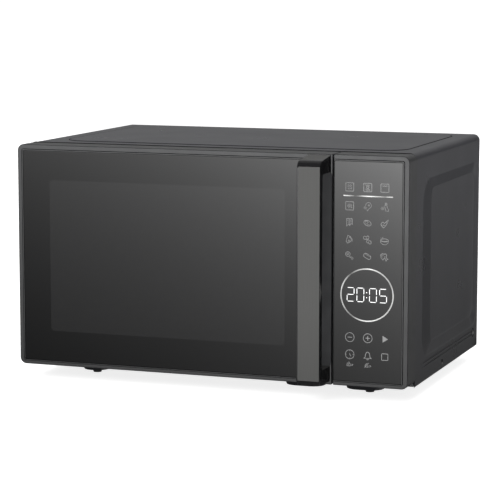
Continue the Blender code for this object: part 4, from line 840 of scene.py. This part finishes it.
def handle_top_film():
    """Satin film on the top of the handle, between its bend and the door."""
    work = bmesh.new()
    front = HANDLE_LO.y + HANDLE_BEND
    near, far = front + 1.0 * MM, HANDLE_HI.y - 0.6 * MM
    rise = (HANDLE_HI.z - HANDLE_TOP) / (HANDLE_HI.y - front)
    rings = []
    for inset, lift in (mm(0.0, -0.3), mm(0.0, 0.03), mm(0.05, 0.06), mm(0.3, 0.06)):
        outline = rounded((HANDLE_LO.x + 0.9 * MM + inset, HANDLE_HI.x + 0.4 * MM - inset),
                          (near + inset, far - inset), 0.6 * MM, 3)
        rings.append([Vector((u, v, HANDLE_TOP + (v - front) * rise + lift)) for u, v in outline])
    work.faces.new(skin(work, rings)[-1])
    return finish_piece("handle_top_film", work, "handle_film", "door", slot="handle_finish")


def handle_outline():
    """The bar's C-shaped side, as (depth, height)."""
    face, base, low = HANDLE_LO.y, HANDLE_HI.y, HANDLE_LO.z
    bend, small = HANDLE_BEND, HANDLE_INNER_BEND
    inside = face + HANDLE_GRIP + small
    gap_low, gap_high = HANDLE_GAP
    return ([(base, low)] + arc(face + bend, low + bend, bend, None, 270, 180, 14)
            + arc(face + bend, HANDLE_TOP - bend, bend, None, 180, 95, 14)
            + [(base, HANDLE_HI.z), (base, gap_high)]
            + arc(inside, gap_high - small, small, None, 90, 180, 8)
            + arc(inside, gap_low + small, small, None, 180, 270, 8) + [(base, gap_low)])


def handle():
    """Gloss black bar with a satin film on its flat face and its top, and a dark strip behind it that also
    reaches over the door's right border as painted shade.
    """
    work = bmesh.new()
    flanks = (HANDLE_LO.x, HANDLE_HI.x + 0.9 * MM)
    skin(work, [placed(handle_outline(), "X", x) for x in flanks], caps=True)
    bmesh.ops.recalc_face_normals(work, faces=work.faces)
    sides = [edge for edge in work.edges if len({v.co.x for v in edge.verts}) == 1]
    bmesh.ops.bevel(work, geom=sides, offset=0.5 * MM, segments=3, profile=0.5, affect="EDGES",
                    clamp_overlap=True)
    bar = finish_piece("handle_bar", work, "handle_black", "door", "handle_finish", ("door_handle",), 32.0)
    flat = HANDLE_BEND - 2.2 * MM
    face = HANDLE_LO.y
    film = slab("handle_face_film", (HANDLE_LO.x + 1.6 * MM, HANDLE_HI.x + 0.5 * MM),
                (HANDLE_LO.z + flat, HANDLE_TOP - flat), 0.4 * MM, "Y", face + 0.5 * MM, face - 0.06 * MM,
                0.05 * MM, "handle_film", "door", slot="handle_finish", steps=3, both=False)
    # A dark backing strip behind the grip; it runs on over the door's right border, painting the shade beside
    # the handle there.
    strip = slab("handle_back_strip_and_painted_shade", (HANDLE_LO.x + 0.6 * MM, DOOR_HI.x - 0.25 * MM),
                 (HANDLE_GAP[0] + 0.5 * MM, HANDLE_GAP[1] - 0.5 * MM), 3.0 * MM, "Y", FACE_Y + 0.05 * MM,
                 FACE_Y - 0.9 * MM, 0.4 * MM, "handle_back", "door", slot="handle_finish", steps=5,
                 both=False)
    for piece in (bar, film, strip, handle_top_film()):
        piece.visible_glossy = False


# ---------------------------------------------------------------- touch panel print

PRINT_Y = FACE_Y - 0.07 * MM
ICON_COLUMNS = mm(156.2, 175.4, 193.6)
ICON_ROWS = mm(224.7, 205.2, 188.3, 170.6, 153.8)
KEY_COLUMNS = mm(157.3, 176.6, 195.0)
KEY_LOW, KEY_LOWER, KEY_TINY = mm(68.7, 50.7, 40.6)


def stroke(work, points, width, place, unit, closed=False):
    """A flat printed line of even width along points, as a thin solid."""
    spots = [Vector((place[0] + x * unit, place[1] + z * unit)) for x, z in points]
    if closed and (spots[0] - spots[-1]).length < 0.01 * MM:
        spots.pop()
    count = len(spots)
    sides = [], []
    for i, spot in enumerate(spots):
        before = spots[i - 1] if closed or i else None
        after = spots[(i + 1) % count] if closed or i < count - 1 else None
        first = (spot - before).normalized() if before is not None else (after - spot).normalized()
        second = (after - spot).normalized() if after is not None else first
        along = first + second
        along = along.normalized() if along.length > 0.2 else first
        normal = Vector((-along.y, along.x))
        cosine = max(0.45, normal.dot(Vector((-first.y, first.x))))
        for side, sign in zip(sides, (1, -1)):
            side.append(spot + sign * normal * (width / 2 / cosine))
    (front_l, front_r), (back_l, back_r) = [[[work.verts.new((p.x, y, p.y)) for p in side] for side in sides]
                                            for y in (PRINT_Y, FACE_Y + 0.02 * MM)]
    for i in range(count if closed else count - 1):
        j = (i + 1) % count
        work.faces.new((front_l[i], front_l[j], front_r[j], front_r[i]))
        work.faces.new((back_l[i], back_r[i], back_r[j], back_l[j]))
        work.faces.new((front_l[i], back_l[i], back_l[j], front_l[j]))
        work.faces.new((front_r[i], front_r[j], back_r[j], back_r[i]))
    if not closed:
        work.faces.new((front_l[0], front_r[0], back_r[0], back_l[0]))
        work.faces.new((front_l[-1], back_l[-1], back_r[-1], front_r[-1]))


def patch(work, points, place=(0.0, 0.0), unit=1.0):
    """A filled printed shape, convex."""
    spots = [(place[0] + x * unit, place[1] + z * unit) for x, z in points]
    front = [work.verts.new((x, PRINT_Y, z)) for x, z in spots]
    back = [work.verts.new((x, FACE_Y + 0.02 * MM, z)) for x, z in spots]
    work.faces.new(front)
    work.faces.new(back[::-1])
    for i in range(len(spots)):
        j = (i + 1) % len(spots)
        work.faces.new((front[i], back[i], back[j], front[j]))


def line(text):
    """Points from pairs of whole hundredths of half the icon's size."""
    values = [int(word) / 100 for word in text.split()]
    return list(zip(values[::2], values[1::2]))


def lines(text):
    return [line(part) for part in text.split("/")]


def wavy(x0, x1, z):
    return [(x0 + (x1 - x0) * i / 8, z + 0.06 * math.sin(2 * math.pi * i / 8)) for i in range(9)]


def squiggle(x, z0, z1):
    return [(x + 0.09 * math.sin(4 * math.pi * i / 10), z0 + (z1 - z0) * i / 10) for i in range(11)]


def flake(cx, cz, r):
    """A snow crystal: three long lines, each crossed by two short ones."""
    made = []
    for k in range(3):
        a = math.radians(60 * k + 10)
        b = a + math.radians(90)
        for middle, half, angle in ((0.0, 1.0, a), (0.62, 0.24, b), (-0.62, 0.24, b)):
            mx, mz = cx + middle * r * math.cos(a), cz + middle * r * math.sin(a)
            made.append([(mx - half * r * math.cos(angle), mz - half * r * math.sin(angle)),
                         (mx + half * r * math.cos(angle), mz + half * r * math.sin(angle))])
    return made


def icons():
    """Each pictogram as (closed lines, open lines), in half sizes, row by row."""
    square = rounded((-1.0, 1.0), (-1.0, 1.0), 0.14, 3)
    tilt = math.radians(-30)
    loaf = [(x * math.cos(tilt) - z * math.sin(tilt), x * math.sin(tilt) + z * math.cos(tilt))
            for x, z in rounded((-0.95, 0.95), (-0.5, 0.5), 0.44, 5)]
    return [
        ([square], [wavy(x, x + 0.46, z) for z in (0.42, 0.0, -0.42) for x in (-0.54, 0.08)]),
        ([square, arc(0.0, 0.08, 0.3, steps=14)],
         lines("-62 66 -30 52 0 68 30 52 62 66") + [wavy(-0.55, -0.05, -0.42), wavy(0.05, 0.55, -0.42),
                                                    wavy(-0.5, 0.0, -0.68), wavy(0.1, 0.6, -0.68)]),
        ([square], lines("-60 55 -36 42 -12 58 12 42 36 58 60 44")),
        ([square],
         [squiggle(x, -0.55, 0.5) for x in (-0.34, 0.02, 0.38)] + lines("-50 -20 -50 10/56 -50 56 -20")),
        ([arc(0.3, 0.28, 0.16, steps=10)],
         [arc(0.22, 0.26, 0.72, None, -55, 165, 14) + [(-0.48, 0.05)], line("63 -33 25 -62 -2 -105 -20 -72")]
         + flake(-0.58, -0.3, 0.44)),
        ([arc(0.32, 0.78, 0.24, steps=12)],
         lines("12 62 -2 10 18 -42 14 -90 90 -95 98 -60 62 -10 50 60") + flake(-0.56, -0.28, 0.46)),
        (lines("-75 82 -35 95 0 84 38 92 72 80 72 -48 36 -30 2 -82 -30 -48 -72 -95"),
         lines("-35 90 -33 -50/2 80 2 -75/38 85 37 -30/-60 40 -46 44/14 30 28 34")),
        ([arc(0.0, -0.05, 0.95, 0.62, 0, 360, 22, -22)],
         [arc(-0.2, 0.12, 0.42, 0.3, 20, 250, 10, -22), arc(0.25, -0.15, 0.4, 0.26, 90, 330, 10, -22),
          line("-10 2 10 10")]),
        (lines("-95 -28 -62 25 -32 36 -5 2 28 42 95 92 72 30 30 -45 -28 -105 -62 -72"),
         lines("-40 -20 -20 -55 0 -30/30 15 50 45/-70 -35 -50 -60")),
        ([line("-42 95 15 72 62 15 72 -38 50 -20 30 -50 -38 -95 -85 -50"), arc(-0.15, -0.32, 0.17, steps=8)],
         [arc(-0.3, -0.1, 0.72, None, -20, 75, 9), line("-20 42 -2 30")]),
        ([arc(-0.62, 0.55, 0.34, 0.42, steps=12, turn=20), arc(0.05, 0.62, 0.32, 0.42, steps=12, turn=-15),
          arc(0.62, -0.5, 0.34, 0.44, steps=12, turn=15)],
         lines("-40 15 0 -5 -30 -45 5 -72 35 -30/5 20 25 0")),
        ([arc(0.0, 0.12, 0.98, 0.36, steps=22)],
         [line("-98 0 -90 -45 -42 -92 42 -92 90 -45 98 0"), arc(0.0, 0.06, 0.72, 0.16, 180, 360, 8)]
         + lines("-55 42 -35 95/-80 40 -90 75")),
        ([arc(-0.38, 0.35, 0.58, steps=18), arc(-0.4, 0.38, 0.24, steps=10)],
         lines("10 -20 35 -38 52 -30 92 -55 98 -72 70 -95 60 -62 20 -45 -2 -30")),
        ([loaf], [[(a, 0.55 - 0.5 * a), (a + 0.22, 0.1 - 0.5 * a)] for a in (-0.55, -0.2, 0.15, 0.5)]),
        (lines("-85 -10 -92 50 -50 88 0 72 30 85 62 45 40 12 62 -30 95 -45 60 -60 42 -98 20 -35 -10 -30 "
               "-35 -72"),
         [arc(-0.35, 0.25, 0.3, None, 40, 260, 9), line("0 30 10 -10")]),
    ]


def mode_icons():
    """The pictograms above the display, the top row and the first of the next in a heavier line."""
    work = bmesh.new()
    for number, (closed, opened) in enumerate(icons()):
        place = (ICON_COLUMNS[number % 3], ICON_ROWS[number // 3])
        width = (0.65 if number < 4 else 0.52) * MM
        for points in closed:
            stroke(work, points, width, place, 4.25 * MM, True)
        for points in opened:
            stroke(work, points, width * 0.8, place, 4.25 * MM)
    finish_piece("mode_icons", work, "icons", "oven_body", slot="white_plastic", weld=False)


def key_icons():
    """The marks of the keys below the display."""
    work = bmesh.new()
    left, middle, right = KEY_COLUMNS
    large, bell = 4.7 * MM, 4.2 * MM
    dial = arc(0.0, 0.0, 1.0, steps=32)
    for column in (left, middle):
        stroke(work, dial, 0.6 * MM, (column, KEY_LOW), large, True)
        patch(work, line("-50 -8 50 -8 50 8 -50 8"), (column, KEY_LOW), large)
    patch(work, line("-8 8 8 8 8 50 -8 50"), (middle, KEY_LOW), large)
    patch(work, line("-8 -50 8 -50 8 -8 -8 -8"), (middle, KEY_LOW), large)
    patch(work, line("-55 -80 72 0 -55 80"), (right, KEY_LOW), 4.5 * MM)
    stroke(work, dial, 0.6 * MM, (left, KEY_LOWER), large, True)
    for quarter in range(4):
        a = math.radians(90 * quarter)
        tick = [(reach * math.cos(a), reach * math.sin(a)) for reach in (0.72, 0.96)]
        stroke(work, tick, 0.55 * MM, (left, KEY_LOWER), large)
    stroke(work, line("0 22 0 -2 34 -42"), 0.6 * MM, (left, KEY_LOWER), large)
    stroke(work, line("-95 -72 -60 -38 -55 20 -38 62 0 85 38 62 55 20 60 -38 95 -72"), 0.6 * MM,
           (middle, KEY_LOWER), bell, True)
    stroke(work, line("-28 -95 0 -112 28 -95"), 0.55 * MM, (middle, KEY_LOWER), bell)
    stroke(work, rounded((-0.8, 0.8), (-0.8, 0.8), 0.18, 3), 0.6 * MM, (right, KEY_LOWER - 0.6 * MM), bell,
           True)
    lock, mute = (left - 1.0 * MM, KEY_TINY), (middle - 1.0 * MM, KEY_TINY - 0.3 * MM)
    chevron = line("125 -85 200 -35 130 10")
    for points, width, place, closed in (
            (rounded((-0.8, 0.8), (-0.9, 0.1), 0.15, 2), 0.5, lock, True),
            (arc(0.0, 0.1, 0.5, 0.75, 0, 180, 8), 0.5, lock, False),
            (line("-25 -40 25 -40"), 0.5, lock, False), (chevron, 0.45, lock, False),
            (line("-90 -80 -60 10 -10 75 50 20 75 -80"), 0.5, mute, True),
            (line("-110 -110 90 110"), 0.5, mute, False), (chevron, 0.45, mute, False)):
        stroke(work, points, width * MM, place, 2.3 * MM, closed)
    finish_piece("key_icons", work, "icons", "oven_body", slot="white_plastic", weld=False)


SEGMENTS = {"2": "abged", "0": "abcdef", "5": "afgcd"}
DIGIT_LEFTS = mm(153.8, 164.3, 177.8, 188.6)


def clock():
    """Seven-segment digits, lit."""
    work = bmesh.new()
    high, wide, thick, gap = mm(14.8, 8.1, 0.66, 0.62)
    t = thick / 2
    half = high / 2
    level = {"a": DISPLAY_Z + half - t, "g": DISPLAY_Z, "d": DISPLAY_Z - half + t}
    for digit, left in zip("2005", DIGIT_LEFTS):
        for name in SEGMENTS[digit]:
            if name in level:
                z = level[name]
                x0, x1 = left + gap + thick * 0.35, left + wide - gap - thick * 0.35
                shape = [(x0, z), (x0 + t, z - t), (x1 - t, z - t), (x1, z), (x1 - t, z + t), (x0 + t, z + t)]
            else:
                x = left + t if name in "ef" else left + wide - t
                z0, z1 = (level["g"], level["a"]) if name in "bf" else (level["d"], level["g"])
                z0, z1 = z0 + gap, z1 - gap
                shape = [(x, z0), (x + t, z0 + t), (x + t, z1 - t), (x, z1), (x - t, z1 - t), (x - t, z0 + t)]
            patch(work, shape)
    for z in (DISPLAY_Z - 2.6 * MM, DISPLAY_Z + 2.6 * MM):
        patch(work, rounded(mm(174.6, 175.6), (z - 0.5 * MM, z + 0.5 * MM), 0.3 * MM, 2))
    finish_piece("clock_digits", work, "digits", "oven_body", slot="white_plastic", weld=False)


def ring_and_bar():
    """The bright ring round the display and the bright line below the top row of icons."""
    work = bmesh.new()
    section = ((-0.70, 0.02), (-0.70, -0.10), (-0.42, -0.238), (0.0, -0.28), (0.42, -0.238), (0.70, -0.10),
               (0.70, 0.02))
    rings = []
    for across, depth in section:
        path = arc(DISPLAY_X, DISPLAY_Z, (27.95 + across) * MM, (27.15 + across) * MM, steps=96)[:-1]
        rings.append(placed(path, "Y", FACE_Y + depth * MM))
    skin(work, rings, loop=True)
    finish_piece("display_ring", work, "ring", "oven_body", slot="aluminium_can", sharp=60.0)
    slab("mode_line", mm(149.4, 202.3), mm(215.0, 216.3), 0.3 * MM, "Y", FACE_Y + 0.02 * MM,
         FACE_Y - 0.22 * MM, 0.2 * MM, "bar", "oven_body", slot="aluminium_can", steps=3, both=False)


# ---------------------------------------------------------------- turntable, door inside, back

def turntable_plate():
    """Pressed glass plate with a foot ring and a raised rim."""
    low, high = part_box("turntable_plate")
    centre = ((low.x + high.x) / 2, (low.y + high.y) / 2, low.z)
    radius = (high.x - low.x) / 2
    hub = 0.05 * MM
    upper = [(0.05, 4.0), (60.0, 4.0), (61.0, 4.35), (62.5, 4.35), (63.5, 4.0)]
    rim = [(14.5, 4.0), (11.0, 4.5), (8.0, 5.6), (5.0, 8.2), (3.0, 10.3), (1.8, 10.9), (0.8, 10.9),
           (0.1, 10.3), (0.1, 9.4), (2.2, 6.4), (5.5, 2.4), (9.0, 0.5), (12.0, 0.05)]
    lower = [(40.0, 0.05), (39.0, 0.6), (22.0, 0.6), (21.0, 0.05), (0.05, 0.05)]
    work = bmesh.new()
    profile = [mm(*point) for point in upper]
    profile += [(radius - inset * MM, level * MM) for inset, level in rim] + [mm(*point) for point in lower]
    lathe(work, profile, centre, "Z", 128)
    ends = [v for v in work.verts
            if abs(math.hypot(v.co.x - centre[0], v.co.y - centre[1]) - hub) < 0.001 * MM]
    for top in (True, False):
        bmesh.ops.contextual_create(work, geom=[v for v in ends if (v.co.z > centre[2] + 2.0 * MM) == top])
    finish_piece("turntable_dish", work, "turntable_glass", "turntable", "turntable_glass",
                 ("turntable_plate",), 50.0, weld=False)


def window_screen():
    """Perforated steel screen over the window of the inner door, with a hexagonal pattern of holes."""
    film_lo, film_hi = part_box("door_inner_film")
    pitch, hole, border = mm(3.0, 1.05, 4.0)
    x0, x1 = film_lo.x + border, film_hi.x - border
    z0, z1 = film_lo.z + border, film_hi.z - border
    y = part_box("door_inner_plate")[1].y + 0.12 * MM
    step = pitch * math.sqrt(3) / 2
    work = bmesh.new()
    for row in range(int((z1 - z0) / step)):
        for column in range(int((x1 - x0) / pitch)):
            cx = x0 + (column + (0.75 if row % 2 else 0.25)) * pitch
            cz = z0 + (row + 0.5) * step
            skin(work, [placed(arc(cx, cz, radius, None, 30, 330, 5), "Y", y)
                        for radius in (pitch / math.sqrt(3), hole)])
    bmesh.ops.remove_doubles(work, verts=work.verts, dist=0.01 * MM)
    finish_piece("door_window_screen", work, "screen_paint", "door", slot="galvanised_steel", weld=False)


def latch_spring():
    """Coil spring above the latch, with a mesh of its own. In the oven it shortens as the latch rises; this
    script builds it at one length.
    """
    low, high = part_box("latch_spring")
    wire = 0.45 * MM
    reach = (high.x - low.x) / 2 - wire
    centre = Vector(((low.x + high.x) / 2, (low.y + high.y) / 2, 0.0))
    up = Vector((0, 0, 1))
    turns, steps = 5, 24
    section = arc(0.0, 0.0, wire, None, 0, 315, 7)
    work = bmesh.new()
    rings = []
    for step in range(turns * steps + 1):
        angle = 2 * math.pi * step / steps
        out = Vector((math.cos(angle), math.sin(angle), 0.0))
        level = low.z + wire + (high.z - low.z - 2 * wire) * step / (turns * steps)
        spot = centre + out * reach + up * level
        rings.append([spot + out * u + up * v for u, v in section])
    skin(work, rings, caps=True)
    spring = finish_piece("latch_coil_spring", work, "bright_screw", "door", "galvanised_steel",
                          ("latch_spring",), 70.0, weld=False)
    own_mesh(spring)


BACK_SCREWS = ((-205.0, 40.0), (-205.0, 240.0), (205.0, 240.0), (0.0, 248.0), (-70.0, 26.0), (70.0, 26.0),
               (114.0, 232.0), (212.0, 148.0), (-205.0, 140.0), (92.0, 140.0))
FRONT_SCREWS = ((-208.0, 60.0), (-208.0, 215.0), (112.0, 32.0), (112.0, 245.0))


def plate_screws():
    """Screws in the back plate, and those of the front plate's flange, seen with the door open."""
    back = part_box("back_plate")[1].y - 0.1 * MM
    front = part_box("front_plate")[0].y + 0.05 * MM
    for word, spots, y, outward, radius in (("back", BACK_SCREWS, back, 1, 3.2 * MM),
                                            ("front", FRONT_SCREWS, front, -1, 2.6 * MM)):
        for number, (x, z) in enumerate(spots, 1):
            screw(f"{word}_screw_{number}", (x * MM, y, z * MM), "Y", outward, radius, "steel_screw")


# ---------------------------------------------------------------- looks of the CAD nodes that stay

def dress_nodes():
    """Gives every CAD node the look of its material slot."""
    slots = {entry["node"]: entry["material_slot"] for entry in frame["record"]["subparts"]}
    for name, thing in frame["nodes"].items():
        look = LOOKS[SPECIAL.get(name, slots[name])]
        thing.data.materials.clear()
        thing.data.materials.append(look)
        for face in thing.data.polygons:
            face.material_index = 0


# ---------------------------------------------------------------- stage

CAMERA_PLACE = (0.79963, -2.21553, 0.45249)
CAMERA_ANGLES = (19.856, 7.666, 0.031)
GRADE_X = 9.3
GRADE_Z = 16.5
GRADE_LEVEL = 5.67
GRADE_MAX = 6.0
GRADE_MIN = 0.03
ROOM_SIDE = 1.38
ROOM_TOP = 0.235
AMBIENT = 0.42
AMBIENT_TILT = 0.12


def camera():
    data = bpy.data.cameras.new("camera")
    data.lens = 153.91
    data.sensor_width = 36.0
    data.clip_start = 0.05
    data.clip_end = 200.0
    thing = add_thing("camera", data)
    yaw, pitch, roll = (math.radians(angle) for angle in CAMERA_ANGLES)
    back = Vector((math.sin(yaw) * math.cos(pitch), -math.cos(yaw) * math.cos(pitch), math.sin(pitch)))
    right = Vector((math.cos(yaw), math.sin(yaw), 0.0))
    up = back.cross(right)
    turned_right = right * math.cos(roll) + up * math.sin(roll)
    turned_up = -right * math.sin(roll) + up * math.cos(roll)
    turn = Matrix((turned_right, turned_up, back)).transposed().to_4x4()
    thing.matrix_world = Matrix.Translation(CAMERA_PLACE) @ turn
    bpy.context.scene.camera = thing


def floor():
    paint = Paint("floor_pale", (0.5, 0.5, 0.5), 0.9, Specular_IOR_Level=0.0, Emission_Strength=0.82,
                  Emission_Color=(1.0, 1.0, 1.0, 1.0))
    paint.link(paint.drift(paint.noise(0.8, 2.0), (0.49, 0.49, 0.49), (0.51, 0.51, 0.51)), "Base Color")
    work = bmesh.new()
    bmesh.ops.create_circle(work, cap_ends=True, radius=12.0, segments=64)
    thing = add_thing("floor", mesh_of("floor", work))
    thing.data.materials.append(paint.material)
    thing.visible_glossy = False


def softbox(name, place, target, size, power):
    data = bpy.data.lights.new(name, "AREA")
    data.shape = "RECTANGLE"
    data.size, data.size_y = size
    data.energy = power
    thing = add_thing(name, data)
    thing.location = place
    thing.rotation_euler = (Vector(target) - Vector(place)).to_track_quat("-Z", "Y").to_euler()
    thing.visible_glossy = False


def surroundings():
    """White studio for the eye, even light on surfaces, and a graded card for reflections."""
    world = bpy.data.worlds.new("studio")
    bpy.context.scene.world = world
    world.use_nodes = True
    tree = world.node_tree
    tree.nodes.clear()
    eye, matt = (make(tree, "ShaderNodeLightPath", out=f"Is {kind} Ray") for kind in ("Camera", "Diffuse"))
    place = make(tree, "ShaderNodeTexCoord", out="Generated")
    x, y, z = make(tree, "ShaderNodeSeparateXYZ", place, out=None)

    def smooth(field, begin, end):
        return field.span(begin, end, kind="SMOOTHSTEP")

    card = x * GRADE_X + z * GRADE_Z + GRADE_LEVEL
    card = card.maths("EXPONENT", card)
    card = card.maths("MINIMUM", card, GRADE_MAX)
    past, over = x - -0.26, z + 0.06
    past, over = past.maths("MAXIMUM", past, 0.0), over.maths("MAXIMUM", over, 0.0)
    fall = past * past * -22.0 + over * over * -30.0
    card = card * fall.maths("EXPONENT", fall)
    ahead = smooth(y, 0.12, -0.12)
    side = smooth(x, 0.14, 0.75) * (1.0 - smooth(x, 0.36, 0.52) * 0.55)
    rise = smooth(z, -0.27, -0.06) * 0.82 + 0.18 + smooth(z, -0.18, -0.30) * 0.70
    side = side * (rise * (1.0 - smooth(z, -0.05, 0.03) * 0.9))
    above = smooth(z, -0.10, 0.14) * (1.0 - smooth(x, 0.05, 0.30) * 0.9)
    room = (side * ROOM_SIDE + above * ROOM_TOP + GRADE_MIN) * ((1.0 - ahead) * 0.85 + 0.15)
    grade = card * ahead + room
    even = z * AMBIENT_TILT + AMBIENT
    total = eye * 1.1 + matt * even + (1.0 - eye - matt) * grade
    shine = make(tree, "ShaderNodeBackground", (1.0, 1.0, 1.0, 1.0), total)
    make(tree, "ShaderNodeOutputWorld", shine, out=None)


bpy.context.scene.view_settings.view_transform = "Standard"
camera()
floor()
surroundings()
softbox("key", (-0.3, -2.6, 1.5), (0.0, 0.0, 0.12), (2.2, 1.2), 60.0)
softbox("top", (0.1, 0.3, 2.2), (0.0, 0.0, 0.2), (2.2, 1.6), 26.0)
softbox("rear", (-0.9, 2.6, 1.5), (0.0, 0.0, 0.12), (1.8, 1.2), 40.0)
for build in (dress_nodes, cabinet, top_panel, front_seam_painted_shadow, side_fixings, door_bezel, hinge_sockets,
              panel_bezel, gap_painted_shadow, glasses, handle, mode_icons, key_icons, clock, ring_and_bar,
              turntable_plate, window_screen, latch_spring, plate_screws):
    build()
